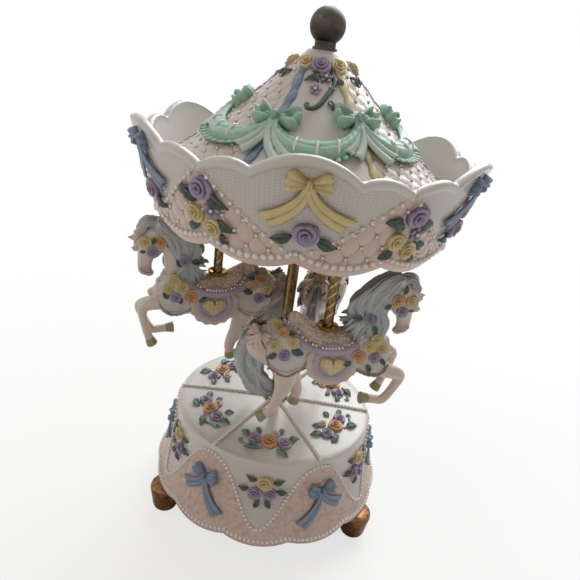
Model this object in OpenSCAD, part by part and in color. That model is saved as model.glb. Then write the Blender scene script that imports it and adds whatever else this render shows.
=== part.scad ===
// Carousel music box: a canopy with three hanging horses turns on a centre post over a
// round base that holds a wind-up musical movement. Origin on the table under the post,
// +Z up, viewer at -Y. The canopy turns about Z, the horses rise, fall and swivel.

/* [Base] */
// Radius of the base at its top edge
base_r = 52; // [48:1:58]
// Height of the base's top edge above the table
base_top = 57; // [55:1:66]
// How far the skirt flares out past the top edge
skirt_flare = 9.5; // [7:0.5:14]
// Height of the skirt's lower edge above the table
skirt_lift = 15.7; // [15:0.1:18]
// Wall of the base and canopy castings
cast_t = 3; // [2.4:0.2:3.6]
// Rise of the base's domed top
dome_rise = 1.5; // [0.5:0.5:3]
// Depth of the scallops round the skirt
skirt_scallop = 2; // [1:0.5:3]

/* [Feet and cover] */
// Thickness of the bottom cover
cover_t = 2.5; // [2:0.5:3]
// Radius of a foot at its widest
foot_r = 8; // [6:0.5:9]
// Distance of the feet from the centre
foot_at = 59; // [57:0.5:62]
// Thickness of a foot's mounting tongue
tongue_t = 3; // [2.5:0.5:4]

/* [Centre post] */
// Outer radius of the fixed centre tube
tube_r = 2.8; // [2.5:0.1:3.4]
// Radius of the drive shaft inside it
shaft_r = 1.5; // [1.2:0.1:1.8]
// Radius of the brass collar on the base
collar_r = 6; // [5:0.5:8]
// Height of that collar
collar_h = 3.6; // [2:0.2:5]

/* [Canopy] */
// Height of the crown's lower edge above the base's top edge
crown_rise = 101.5; // [98:0.5:112]
// Height of the crown from its lowest edge to its peaks
crown_h = 43; // [40:1:48]
// Outer radius of the crown at its lower edge
crown_foot_r = 64.5; // [62:0.5:68]
// Outer radius of the crown at its peaks
crown_rim_r = 77.6; // [75:0.1:82]
// Depth of the rim at the six corners below the peaks
corner_dip = 9.5; // [6:0.5:12]
// Depth of the scallops round the crown's lower edge
crown_scallop = 4; // [2:0.5:5]
// Height of the cone's foot above the crown's lower edge
cone_seat = 23; // [21:0.5:26]
// Height of the cone
cone_h = 52; // [46:1:58]
// Radius of the flat disc on top of the cone
apex_r = 6.8; // [6:0.2:9]
// Radius of the finial's ball
ball_r = 7.5; // [6:0.1:9]
// Height of the finial's neck
neck_h = 3.2; // [2:0.2:6]
// Thickness of the canopy's floor
floor_t = 3; // [2:0.5:4]

/* [Horses] */
// Radius of the circle of poles
pole_at = 37.3; // [35:0.1:40]
// Radius of a pole
pole_r = 2.3; // [2:0.1:2.6]
// Mean height of the saddles above the base's top edge
saddle_rise = 67.7; // [64:0.5:68]
// Height that a horse rises and falls either side of the mean
lift_amp = 3.7; // [2:0.1:4]
// Direction in which the cam disc is highest
cam_dir = 112; // [0:1:359]
// Length of a horse from its raised knee to its rump
horse_len = 71; // [60:1:72]
// Radius of the cup round the pole on the saddle
cup_r = 4.2; // [3.5:0.1:5]

/* [Movement] */
// Radius of the spring barrel
barrel_r = 13; // [12:0.5:13.5]
// Height of the spring barrel
barrel_h = 9; // [8:0.5:10]
// Radius of the pinned cylinder
drum_r = 6.5; // [6:0.1:7]
// Radius of the winding arbor
arbor_r = 2; // [1.8:0.1:2.4]
// Span of the winding key across its wings
key_w = 26; // [20:1:30]
// Height of the key's wings
key_h = 8; // [6:0.5:9]
// Width beside the pinned cylinder for the barrel's teeth, wheels, brackets and base wall
gear_room = 21; // [21:0.5:23]
// Thickness of the movement's plates
plate_t = 1.5; // [1.2:0.1:2]

/* [Hidden] */
$fn = 72;

// fits
run = 0.05;      // radial running clearance
gap = 0.3;       // clearance between neighbours that do not run on each other
eps = 0.05;      // overshoot of a cut
// pattern
panels = 6;
step = 360 / panels;
first = -90;     // the panel that faces the viewer
foot_angles = [-150, -30, 90];
boss_angles = [-60, 60, 180];
// horses: angle of the pole, heading of the horse
FRONT = [-60, 12];
LEFT = [180, 200];
REAR = [60, 80];

// base
cover_z = skirt_lift + 1.8;
cover_top = cover_z + cover_t;
cover_r = base_wall(cover_top) - cast_t - gap;
bun_top = skirt_lift - gap;
foot_screw_at = foot_at - foot_r - 4.5;
top_in = base_top - cast_t;
boss_at = base_r - cast_t - 5;
boss_r = 3.5;
screw_r = 1.3;
screw_head = 2.6;
screw_head_h = 1.4;
post_z = base_top + dome_rise;

// canopy
crown_z = base_top + crown_rise;
crown_top = crown_z + crown_h;
cone_z0 = crown_z + cone_seat;
cone_foot_r = crown_r(cone_z0) - cast_t - gap;
apex_z = cone_z0 + cone_h;
floor_z = crown_z + 5;
floor_top = floor_z + floor_t;
floor_r = crown_r(floor_z) - cast_t - gap;
ledge_t = 3;
crown_boss_r = 3;
crown_boss_at = crown_r(floor_z) - cast_t - crown_boss_r - gap;
ball_z = apex_z + neck_h + ball_r - 1.2;
hub_r = 5;
hub_top = apex_z - cast_t * 1.8;
hub_h = 6;
shaft_top = apex_z + neck_h + ball_r * 0.6;

// lifting gear
saddle_z = base_top + saddle_rise;
bush_r = pole_r + 1.3;
bush_wall = 2;
bush_h = 10;
bush_flange = pole_r + 2.9;
bush_flange_t = 1.5;
bush_top = floor_top + bush_h;
lifter_h = 5;
lifter_r = pole_r + 2.4;
lifter_z = bush_top + lift_amp + 2.4;
shoe_at = pole_at - 5.3;
cam_r = shoe_at - gap;
cam_t = 3;
cam_tilt = atan(lift_amp / shoe_at);
guide_at = pole_at + 6.4;
guide_r = 1.2;
guide_top = lifter_z + lifter_h + lift_amp + 0.6;
tube_top = lifter_z + lifter_h + 4;
tube_bottom = top_in - 5;
pole_top = lifter_z + lifter_h + 2;
clip_t = 0.6;
sink = 14;       // depth of the pole below the saddle
horse_k = horse_len / 71;

// movement: the barrel's crown teeth drive the cylinder, then the fan
bed_z = cover_top + 2;
bed_top = bed_z + plate_t;
barrel_z = bed_top + 0.6;
barrel_top = barrel_z + barrel_h;
wheel_t = 1.2;
tooth_z = barrel_top + wheel_t;
barrel_teeth = 36;
pinion_teeth = 12;
mesh_r = barrel_r + 2;
pinion_r = mesh_r * pinion_teeth / barrel_teeth;
tooth_h = 1.7;
drum_z = tooth_z + tooth_h * 0.6 + pinion_r;
drum_x = mesh_r + 3.4;
drum_l = base_r - barrel_r - gear_room;
gear_x = drum_x + drum_l + 0.8;
gear_t = 1.4;
arbor_thin = 0.7;
bracket_t = 1;
bracket_in = drum_x - 1.4;
bracket_out = gear_x + gear_t + 0.8;
out_x = bracket_out + bracket_t + 0.6;
gear_m = 0.5;
big_teeth = 36;
small_teeth = 8;
idler_y = gear_m * (big_teeth + small_teeth) / 2;
fan_m = 0.4;
idler_teeth = 40;
fan_y = idler_y + fan_m * (idler_teeth + small_teeth) / 2;
comb_tip = drum_r + 0.8;
comb_root = comb_tip + 9;
comb_back = comb_root + 7;
comb_t = 1;
key_z = 3.2;
tracks = 18;

function base_wall(z) =
    base_r + skirt_flare * pow(1 - (z - skirt_lift) / (base_top - skirt_lift), 2.2);
function dome(r) = base_top + dome_rise * (1 - pow(r / base_r, 2));
function crown_r(z) = crown_foot_r + (crown_rim_r - crown_foot_r) * (z - crown_z) / crown_h;
function cone_u(r) = (r - apex_r) / (cone_foot_r - apex_r);
function cone_z(r) = cone_z0 + cone_h * pow(max(0, 1 - cone_u(r)), 1.2);
function lift(h) = lift_amp * cos(h[0] - cam_dir);
function steps(n) = [for (i = [0 : n]) i / n];
// rim line of one crown panel: a wide centre lobe between two narrow side lobes
function rim_drop(x) = abs(x) < 18.4
    ? 7 * pow(x / 18.4, 2)
    : 4.7 + (abs(x) < 27.9 ? 2.3 : corner_dip - 4.7) * pow((abs(x) - 27.9) / 9.5, 2);

// ---------- shared shapes ----------

// repeats its children at each panel's centre (shift 0) or at the borders (shift 0.5)
module each_panel(shift = 0) {
    for (i = [0 : panels - 1]) rotate(first + (i + shift) * step) children();
}

// cuts n even lobes into the lower edge at height z of a ring of radius r
module scallop_cut(n, r, z, depth, turn) {
    w = r * sin(180 / n);
    for (i = [0 : n - 1]) rotate(turn + i * 360 / n) translate([r * 0.8, 0, z])
        rotate([90, 0, 90]) linear_extrude(r * 0.4)
            polygon([for (t = steps(12)) [w * (2 * t - 1), depth * pow(2 * t - 1, 2)],
                     [w, -3], [-w, -3]]);
}

module gear2d(teeth, m) {
    a = 360 / teeth;
    rp = teeth * m / 2;
    polygon([for (i = [0 : teeth - 1], p = [[-0.23, -1], [-0.1, 0.75], [0.1, 0.75], [0.23, -1]])
        (rp + p[1] * m) * [cos((i + p[0]) * a), sin((i + p[0]) * a)]]);
}

module screw(l) {
    cylinder(r = screw_r, h = l);
    translate([0, 0, -screw_head_h]) difference() {
        cylinder(r = screw_head, h = screw_head_h);
        translate([-screw_head, -0.3, -eps]) cube([2 * screw_head, 0.6, 0.6]);
    }
}

// flat bow, standing in the local XY plane: two loops, a knot and two tails
module bow(w, t, drop) {
    k = w / 20;
    linear_extrude(t) {
        for (s = [-1, 1]) {
            polygon([[0, 1.4 * k], [s * 3 * k, 4.2 * k], [s * 8 * k, 5 * k], [s * 10 * k, 2.4 * k],
                     [s * 9 * k, -1.6 * k], [s * 4 * k, -2 * k], [0, -1.4 * k]]);
            polygon([[0, 0], [s * 3 * k, -1 * k], [s * 9 * k, -drop + 2 * k],
                     [s * 7 * k, -drop + 1.6 * k], [s * 6 * k, -drop]]);
        }
    }
    cylinder(r = 1.9 * k, h = t + 0.8, $fn = 24);
}

module rose(r, h) {
    cylinder(r = r, h = h * 0.6, $fn = 24);
    cylinder(r = r * 0.6, h = h, $fn = 24);
}

module leaf(l, t) {
    linear_extrude(t) polygon([[0, 0], [l * 0.4, l * 0.25], [l, 0], [l * 0.4, -l * 0.25]]);
}

// a ring of leaves under one large and two small roses, lying in the local XY plane
module bouquet(r, h) {
    rose(r, h);
    for (s = [-1, 1]) {
        translate([s * r * 1.3, -r * 0.7, 0]) rose(r * 0.8, h * 0.9);
        for (a = [15, 60]) rotate(s > 0 ? a : 180 - a) translate([r * 0.7, 0, 0]) leaf(r * 1.7, h * 0.4);
    }
}

// lays its children on the outside of a wall at height z, leaning out by lean degrees
module on_wall(r, z, lean = 0) {
    translate([r, 0, z]) rotate([0, lean, 0]) rotate([90, 0, 90]) children();
}

// tube of radius r along the points of path, with eight sides
module swept(path, r) {
    n = len(path);
    sides = 8;
    function dir(i) = let (d = path[min(i + 1, n - 1)] - path[max(i - 1, 0)]) d / norm(d);
    function across(i) = let (c = cross(dir(i), [0, 0, 1])) c / norm(c);
    ring = [for (i = [0 : n - 1], a = [0 : sides - 1])
        let (u = across(i), v = cross(u, dir(i)), w = r * (0.55 + 0.45 * sin(180 * i / (n - 1))))
        path[i] + w * (u * cos(a * 360 / sides) + v * sin(a * 360 / sides))];
    side = [for (i = [0 : n - 2], a = [0 : sides - 1]) let (b = (a + 1) % sides)
        [i * sides + a, i * sides + b, (i + 1) * sides + b, (i + 1) * sides + a]];
    ends = [[for (a = [sides - 1 : -1 : 0]) a], [for (a = [0 : sides - 1]) (n - 1) * sides + a]];
    polyhedron(ring, concat(side, ends), convexity = 4);
}

// ---------- base ----------

module base_profile() {
    polygon(concat(
        [for (t = steps(14)) let (z = skirt_lift + t * (base_top - 1.5 - skirt_lift)) [base_wall(z), z]],
        [[base_r - 0.5, base_top - 0.4], [base_r - 1.5, base_top]],
        [for (t = steps(8)) let (r = (base_r - 2) * (1 - t)) [r, dome(r)]],
        [[0, top_in]],
        [[base_wall(top_in) - cast_t, top_in]],
        [for (t = steps(12)) let (z = top_in + t * (skirt_lift - top_in)) [base_wall(z) - cast_t, z]]));
}

module base_shell() {
    color("ivory") difference() {
        union() {
            rotate_extrude($fn = 96) base_profile();
            for (a = boss_angles) rotate(a) translate([boss_at, 0, cover_top])
                cylinder(r = boss_r, h = top_in - cover_top + eps);
        }
        scallop_cut(12, base_r + skirt_flare, skirt_lift - eps, skirt_scallop, 0);
        translate([0, 0, top_in - eps]) cylinder(r = tube_r, h = cast_t + dome_rise + 2 * eps);
        for (a = boss_angles) rotate(a) translate([boss_at, 0, cover_top - eps]) cylinder(r = screw_r, h = 9);
    }
}

module base_cover() {
    color("tan") difference() {
        translate([0, 0, cover_z]) cylinder(r = cover_r, h = cover_t, $fn = 96);
        translate([0, 0, cover_z - eps]) cylinder(r = arbor_r + 0.8, h = cover_t + 2 * eps);
        for (a = boss_angles) rotate(a) translate([boss_at, 0, cover_z - eps])
            cylinder(r = screw_r, h = cover_t + 2 * eps);
        for (a = foot_angles) rotate(a) translate([foot_screw_at, 0, cover_z - eps])
            cylinder(r = screw_r, h = cover_t + 2 * eps);
        at_bed_posts() translate([0, 0, cover_z - eps]) cylinder(r = screw_r, h = cover_t + 2 * eps);
    }
}

module cover_screws() {
    color("silver") for (a = boss_angles) rotate(a) translate([boss_at, 0, cover_z]) screw(cover_t + 8);
}

module scroll_feet() {
    color("sienna") for (a = foot_angles) rotate(a) difference() {
        union() {
            translate([foot_at, 0, 0]) rotate_extrude()
                polygon([[0, 0], [foot_r * 0.55, 0], [foot_r * 0.72, 0.6], [foot_r * 0.86, 2.4],
                         [foot_r, bun_top * 0.66], [foot_r, bun_top * 0.82], [foot_r * 0.8, bun_top],
                         [0, bun_top]]);
            translate([foot_screw_at - 4, -5, cover_z - tongue_t])
                cube([cover_r - foot_screw_at + 3.6, 10, tongue_t]);
        }
        translate([foot_screw_at, 0, cover_z - tongue_t - eps]) cylinder(r = screw_r, h = tongue_t + 2 * eps);
    }
}

module foot_screws() {
    color("silver") for (a = foot_angles) rotate(a)
        translate([foot_screw_at, 0, cover_z - tongue_t]) screw(tongue_t + cover_t);
}

module post_collar() {
    color("goldenrod") translate([0, 0, post_z]) rotate_extrude()
        polygon([[tube_r, 0], [collar_r, 0], [collar_r, collar_h * 0.4], [collar_r * 0.8, collar_h * 0.75],
                 [tube_r + 0.8, collar_h], [tube_r, collar_h]]);
}

module centre_tube() {
    color("goldenrod") translate([0, 0, tube_bottom]) difference() {
        cylinder(r = tube_r, h = tube_top - tube_bottom);
        translate([0, 0, -eps]) cylinder(r = shaft_r + run, h = tube_top - tube_bottom + 2 * eps);
    }
}

module tube_nut() {
    color("goldenrod") translate([0, 0, top_in - 3]) difference() {
        cylinder(r = tube_r + 2.6, h = 3, $fn = 6);
        translate([0, 0, -eps]) cylinder(r = tube_r, h = 3 + 2 * eps);
    }
}

// fixed slanting disc: its edge lies level with each lifter's shoe as the canopy turns
module cam_disc() {
    mid = lifter_z + lifter_h / 2;
    color("white") difference() {
        union() {
            translate([0, 0, mid]) rotate(cam_dir) rotate([0, -cam_tilt, 0])
                cylinder(r = cam_r, h = cam_t, center = true, $fn = 96);
            translate([0, 0, mid - 5]) cylinder(r = tube_r + 3, h = 9);
        }
        translate([0, 0, mid - 6]) cylinder(r = tube_r, h = 12);
        for (i = [0 : 5]) rotate(i * 60) translate([cam_r * 0.6, 0, mid - 8]) cylinder(r = 6, h = 16);
    }
}

module base_bows() {
    color("cornflowerblue") each_panel(0.5) on_wall(base_wall(base_top * 0.62) - 1.2, base_top * 0.66, 12)
        bow(17, 2.6, 13);
}

module base_bouquets() {
    color("khaki") each_panel() on_wall(base_wall(base_top * 0.75) - 0.8, base_top * 0.76, 6) bouquet(3.4, 3);
}

module top_bouquets() {
    color("orange") each_panel() translate([base_r * 0.62, 0, base_top + dome_rise * 0.55]) rotate(90)
        bouquet(3.6, 3.2);
}

// ---------- movement ----------

bed_posts = [[-15, -17], [-15, 17], [drum_x + 4, -comb_back + 4], [drum_x + 6, fan_y + 1]];
module at_bed_posts() {
    for (p = bed_posts) translate([p[0], p[1], 0]) children();
}

module bedplate() {
    web = drum_z + 2.4 - bed_top;
    color("darkgray") difference() {
        union() {
            translate([-20, -comb_back - 1, bed_z])
                cube([bracket_out + bracket_t + 20, comb_back + 1 + fan_y + 4, plate_t]);
            at_bed_posts() translate([0, 0, cover_top]) cylinder(r = 2.4, h = bed_z - cover_top + eps);
            for (x = [bracket_in, bracket_out]) translate([x, -4, bed_top - eps])
                cube([bracket_t, x == bracket_in ? 8 : fan_y + 6, web]);
            translate([drum_x - 1.6, fan_y - 2, bed_top - eps]) cube([bracket_t, 4, web]);
            translate([drum_x, -comb_back, bed_top - eps])
                cube([drum_l, comb_back - comb_root - 0.6, drum_z - comb_t / 2 - bed_top + eps]);
        }
        translate([0, 0, bed_z - eps]) cylinder(r = arbor_r + run, h = plate_t + 2 * eps);
        at_bed_posts() translate([0, 0, cover_top - eps]) cylinder(r = screw_r, h = bed_z - cover_top + 1);
        translate([bracket_in - 5, 0, drum_z]) rotate([0, 90, 0])
            cylinder(r = arbor_thin + run, h = bracket_out + 8 - bracket_in);
        translate([bracket_out - 1, idler_y, drum_z]) rotate([0, 90, 0])
            cylinder(r = arbor_thin + run, h = 4);
        translate([bracket_in - 5, fan_y, drum_z]) rotate([0, 90, 0])
            cylinder(r = arbor_thin + run, h = bracket_out + 8 - bracket_in);
        at_comb_screws() translate([0, 0, drum_z - 5]) cylinder(r = screw_r * 0.7, h = 6);
    }
}

module bedplate_screws() {
    color("silver") at_bed_posts() translate([0, 0, cover_z]) screw(bed_z - cover_z + 0.9);
}

module at_comb_screws() {
    for (s = [0.2, 0.8]) translate([drum_x + drum_l * s, -(comb_root + comb_back) / 2, 0]) children();
}

// tuned comb: one tooth for each track of pins
module comb() {
    pitch = drum_l / tracks;
    color("lightsteelblue") difference() {
        translate([drum_x, -comb_back, drum_z - comb_t / 2]) cube([drum_l, comb_back - comb_tip, comb_t]);
        for (i = [1 : tracks - 1]) translate([drum_x + i * pitch - 0.15, -comb_root, drum_z - comb_t])
            cube([0.3, comb_root, 2 * comb_t]);
        at_comb_screws() translate([0, 0, drum_z - comb_t]) cylinder(r = screw_r * 0.7, h = 2 * comb_t);
    }
}

module comb_screws() {
    color("silver") at_comb_screws() translate([0, 0, drum_z + comb_t / 2]) {
        translate([0, 0, -4.5]) cylinder(r = screw_r * 0.7, h = 4.5);
        cylinder(r = screw_head * 0.75, h = 1);
    }
}

module winding_key() {
    hub = arbor_r + 1.6;
    color("gold") difference() {
        union() {
            translate([0, 0, key_z]) cylinder(r = hub, h = key_h + 1.5);
            for (s = [0, 180]) rotate(s) translate([0, -0.9, key_z]) rotate([90, 0, 0]) translate([0, 0, -1.8])
                linear_extrude(1.8) difference() {
                    polygon([[0, 1], [key_w / 2 - 3, 0], [key_w / 2, 2], [key_w / 2, key_h - 2],
                             [key_w / 2 - 3, key_h], [0, key_h - 1]]);
                    translate([key_w / 2 - 4.4, key_h / 2]) circle(r = 1.6);
                }
        }
        translate([0, 0, key_z + 2]) cylinder(r = arbor_r, h = key_h + 2);
    }
}

module winding_arbor() {
    top = barrel_top - 1;
    color("silver") translate([0, 0, key_z + 2]) cylinder(r = arbor_r, h = top - key_z - 2);
}

module pinned_cylinder() {
    color("gold") translate([drum_x, 0, drum_z]) rotate([0, 90, 0]) difference() {
        union() {
            cylinder(r = drum_r, h = drum_l);
            for (i = [0 : tracks - 1], j = [0 : 3])
                translate([0, 0, (i + 0.5) * drum_l / tracks]) rotate(i * 137 + j * 90 + 17 * j * i % 60)
                    translate([drum_r - 0.3, 0, 0]) rotate([0, 90, 0]) cylinder(r = 0.2, h = 0.7, $fn = 16);
        }
        translate([0, 0, -eps]) cylinder(r = arbor_thin, h = drum_l + 2 * eps);
    }
}

module cylinder_arbor() {
    left = mesh_r - 2.2;
    color("gold") translate([0, 0, drum_z]) rotate([0, 90, 0]) {
        translate([0, 0, left]) cylinder(r = arbor_thin, h = bracket_out + bracket_t + 0.3 - left);
        translate([0, 0, mesh_r - 1]) linear_extrude(2) rotate(180 / pinion_teeth)
            gear2d(pinion_teeth, 2 * pinion_r / pinion_teeth);
        translate([0, 0, gear_x]) linear_extrude(gear_t) gear2d(big_teeth, gear_m);
    }
}

module idler_wheel() {
    color("gold") translate([0, idler_y, drum_z]) rotate([0, 90, 0]) {
        translate([0, 0, gear_x - 0.4]) cylinder(r = arbor_thin, h = out_x + 1.6 - gear_x + 0.4);
        translate([0, 0, gear_x]) linear_extrude(gear_t) rotate(-90 + 180 / small_teeth)
            gear2d(small_teeth, gear_m);
        translate([0, 0, out_x]) linear_extrude(1) rotate(90) gear2d(idler_teeth, fan_m);
    }
}

module governor_fan() {
    color("gold") translate([0, fan_y, drum_z]) rotate([0, 90, 0]) {
        translate([0, 0, drum_x - 2]) cylinder(r = arbor_thin, h = out_x + 1.6 - drum_x + 2);
        translate([0, 0, out_x]) linear_extrude(1) rotate(-90 + 180 / small_teeth)
            gear2d(small_teeth, fan_m);
        translate([-4.5, -0.25, drum_x + 5]) cube([9, 0.5, 8]);
    }
}

// ---------- drive ----------

module drive_shaft() {
    low = barrel_top + 0.2;
    color("silver") translate([0, 0, low]) cylinder(r = shaft_r, h = shaft_top - low);
}

module spring_barrel() {
    color("gold") difference() {
        union() {
            translate([0, 0, barrel_z]) cylinder(r = barrel_r, h = barrel_h);
            translate([0, 0, barrel_top - eps]) cylinder(r = mesh_r + 1, h = wheel_t + eps);
            for (i = [0 : barrel_teeth - 1]) rotate(i * 360 / barrel_teeth)
                translate([mesh_r - 1, -0.42, tooth_z - eps]) cube([2, 0.84, tooth_h]);
            translate([0, 0, tooth_z - eps]) cylinder(r = shaft_r + 1.8, h = 4);
        }
        translate([0, 0, barrel_z + 1]) cylinder(r = barrel_r - 0.8, h = barrel_h - 1);
        translate([0, 0, barrel_z - eps]) cylinder(r = arbor_r + run, h = 2);
        translate([0, 0, barrel_top - eps]) cylinder(r = shaft_r, h = wheel_t + 6);
    }
}

// flat coil that fills the barrel between the arbor and the wall
module mainspring() {
    turns = 5;
    outer = barrel_r - 1;
    pitch = (outer - arbor_r - 0.9) / turns;
    n = turns * 24;
    function at(i, d) = (outer - pitch * i / 24 - d) * [cos(i * 15), sin(i * 15)];
    color("steelblue") translate([0, 0, barrel_z + 1.3]) linear_extrude(barrel_h - 2.6)
        polygon(concat([for (i = [0 : n]) at(i, 0)], [for (i = [n : -1 : 0]) at(i, 0.6)]));
}

module canopy_hub() {
    color("goldenrod") translate([0, 0, hub_top - hub_h]) difference() {
        cylinder(r = hub_r, h = hub_h);
        translate([0, 0, -eps]) cylinder(r = shaft_r, h = hub_h + 2 * eps);
    }
}

// ---------- canopy ----------

module crown() {
    w = crown_rim_r * 0.98 * sin(step / 2);
    color("mistyrose") difference() {
        rotate_extrude($fn = 96) polygon([
            [crown_foot_r, crown_z], [crown_rim_r, crown_top],
            [crown_rim_r - cast_t, crown_top], [crown_foot_r - cast_t, crown_z]]);
        scallop_cut(12, crown_r(crown_z + crown_scallop) + 0.5, crown_z - eps, crown_scallop, 15);
        each_panel() translate([crown_rim_r * 0.75, 0, crown_top]) rotate([90, 0, 90])
            linear_extrude(crown_rim_r * 0.35)
                polygon(concat([for (t = steps(32)) let (x = w * (2 * t - 1)) [x, -rim_drop(x * 38 / w)]],
                               [[w + 2, -corner_dip], [w + 2, 2], [-w - 2, 2], [-w - 2, -corner_dip]]));
    }
}

// ring glued inside the crown: it carries the cone's foot and takes the floor's screws
module cone_ring() {
    seat_z = cone_z0 - ledge_t;
    inner = crown_boss_at - 1;
    color("mistyrose") difference() {
        union() {
            rotate_extrude($fn = 96) polygon([
                [inner, seat_z], [crown_r(seat_z) - cast_t - run, seat_z],
                [crown_r(cone_z0) - cast_t - run, cone_z0], [inner, cone_z0]]);
            for (a = boss_angles) rotate(a) translate([crown_boss_at, 0, floor_top])
                cylinder(r = crown_boss_r, h = cone_z0 - floor_top);
        }
        for (a = boss_angles) rotate(a) translate([crown_boss_at, 0, floor_top - eps])
            cylinder(r = screw_r, h = 8);
    }
}

module canopy_cone() {
    inner_top = hub_top;
    color("lavenderblush") difference() {
        rotate_extrude($fn = 96) polygon(concat(
            [[0, apex_z]],
            [for (t = steps(14)) let (r = apex_r + t * (cone_foot_r - apex_r)) [r, cone_z(r)]],
            [for (t = steps(12)) let (r = cone_foot_r - cast_t + t * (hub_r + 1 + cast_t - cone_foot_r))
                [r, min(inner_top, max(cone_z0, cone_z(r) - cast_t * 1.3))]],
            [[0, inner_top]]));
        translate([0, 0, inner_top - 1]) cylinder(r = shaft_r, h = apex_z - inner_top + 2);
    }
}

module canopy_floor() {
    color("white") difference() {
        translate([0, 0, floor_z]) cylinder(r = floor_r, h = floor_t, $fn = 96);
        translate([0, 0, floor_z - eps]) {
            cylinder(r = tube_r + bush_wall, h = floor_t + 2 * eps);
            for (h = [FRONT, LEFT, REAR]) rotate(h[0]) {
                translate([pole_at, 0, 0]) cylinder(r = bush_r, h = floor_t + 2 * eps);
                translate([guide_at, 0, 0]) cylinder(r = guide_r, h = floor_t + 2 * eps);
            }
            for (a = boss_angles) rotate(a) translate([crown_boss_at, 0, 0])
                cylinder(r = screw_r, h = floor_t + 2 * eps);
        }
    }
}

module floor_screws() {
    color("silver") for (a = boss_angles) rotate(a) translate([crown_boss_at, 0, floor_z])
        screw(floor_t + 7);
}

module centre_bush() {
    color("white") translate([0, 0, floor_z]) difference() {
        union() {
            cylinder(r = tube_r + bush_wall, h = floor_t + 2 * bush_wall);
            translate([0, 0, floor_t]) cylinder(r = tube_r + 2 * bush_wall, h = bush_flange_t);
        }
        translate([0, 0, -eps]) cylinder(r = tube_r + run, h = floor_t + 2 * bush_wall + 2 * eps);
    }
}

module pole_bushes() {
    color("goldenrod") for (h = [FRONT, LEFT, REAR]) rotate(h[0]) translate([pole_at, 0, 0]) difference() {
        union() {
            translate([0, 0, floor_z]) cylinder(r = bush_r, h = floor_t + bush_h);
            translate([0, 0, floor_z - bush_flange_t]) cylinder(r = bush_flange, h = bush_flange_t);
        }
        translate([0, 0, floor_z - bush_flange_t - eps])
            cylinder(r = pole_r + run, h = floor_t + bush_h + bush_flange_t + 2 * eps);
    }
}

module guide_posts() {
    color("silver") for (h = [FRONT, LEFT, REAR]) rotate(h[0]) translate([guide_at, 0, floor_z])
        cylinder(r = guide_r, h = guide_top - floor_z);
}

module finial() {
    foot_r = ball_r * 0.7;
    color("dimgray") difference() {
        union() {
            translate([0, 0, apex_z]) cylinder(r = foot_r, h = 1.2);
            translate([0, 0, apex_z]) cylinder(r = ball_r * 0.6, h = ball_z - apex_z);
            translate([0, 0, ball_z]) sphere(r = ball_r);
        }
        translate([0, 0, apex_z - eps]) cylinder(r = shaft_r, h = shaft_top - apex_z + 2 * eps);
    }
}

// gathered swags that hang between the bows, round the middle of the cone
swag_high_r = cone_foot_r * 0.5;
swag_low_r = cone_foot_r * 0.66;
module cone_swags() {
    color("aquamarine") each_panel() swept([for (t = steps(12))
        let (a = (t - 0.5) * (step - 8), s = 1 - pow(2 * t - 1, 2),
             r = swag_high_r + (swag_low_r - swag_high_r) * s)
        [r * cos(a), r * sin(a), cone_z(r) + 0.8]], 3.4);
}

module cone_bows() {
    r = swag_high_r;
    color("aquamarine") each_panel(0.5) on_wall(r - 1.6, cone_z(r) + 0.2, -42) bow(19, 3, 10);
}

module cone_roses() {
    color("khaki") {
        each_panel(0.5) on_wall(11, cone_z(11) - 0.6, -42) rose(3, 3.4);
        each_panel() on_wall(17, cone_z(17) - 0.6, -42) rose(3, 3.4);
    }
}

crown_lean = atan((crown_rim_r - crown_foot_r) / crown_h);

module crown_bows() {
    z = crown_z + crown_h * 0.77;
    color("khaki") each_panel() on_wall(crown_r(z) - 1.3, z, crown_lean) bow(crown_h * 0.535, 3, crown_h * 0.3);
}

module crown_bouquets() {
    z = crown_z + crown_h * 0.56;
    color("plum") each_panel(0.5) on_wall(crown_r(z) - 1, z, crown_lean) {
        translate([0, 5, 0]) rose(4.2, 3.8);
        translate([0, -6, 0]) bouquet(3.4, 3.4);
    }
}

module crown_roses() {
    z = crown_z + crown_h * 0.38;
    color("plum") each_panel() on_wall(crown_r(z) - 1, z, crown_lean) {
        rose(4.4, 3.6);
        for (s = [0, 180]) rotate(s - 12 * (s == 0 ? 1 : -1)) translate([3.4, 0, 0]) leaf(6.4, 2);
    }
}

// ---------- horses ----------

module at_pole(h) {
    rotate(h[0]) translate([pole_at, 0, 0]) children();
}

module facing(h) {
    at_pole(h) rotate(h[1] - h[0]) translate([0, 0, saddle_z + lift(h)]) children();
}

// sleeve on the pole's top, with a shoe beside the cam disc and an ear on the guide post
module lifter(h) {
    color("white") at_pole(h) translate([0, 0, lifter_z + lift(h)]) difference() {
        union() {
            cylinder(r = lifter_r, h = lifter_h);
            translate([shoe_at - pole_at, -1.6, 1]) cube([pole_at - shoe_at, 3.2, lifter_h - 2]);
            translate([0, -2, 1]) cube([guide_at - pole_at, 4, lifter_h - 2]);
            translate([guide_at - pole_at, 0, 1]) cylinder(r = guide_r + 1.4, h = lifter_h - 2);
        }
        translate([0, 0, -eps]) cylinder(r = pole_r + run, h = lifter_h + 2 * eps);
        translate([guide_at - pole_at, 0, -eps]) cylinder(r = guide_r + run, h = lifter_h + 2 * eps);
    }
}

module pole(h) {
    low = saddle_z - sink;
    color("goldenrod") at_pole(h) translate([0, 0, low + lift(h)]) difference() {
        cylinder(r = pole_r, h = pole_top - low);
        translate([0, 0, pole_top - low - 2 + run]) difference() {
            cylinder(r = pole_r + 1, h = clip_t);
            translate([0, 0, -eps]) cylinder(r = pole_r - 0.5, h = clip_t + 2 * eps);
        }
    }
}

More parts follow.
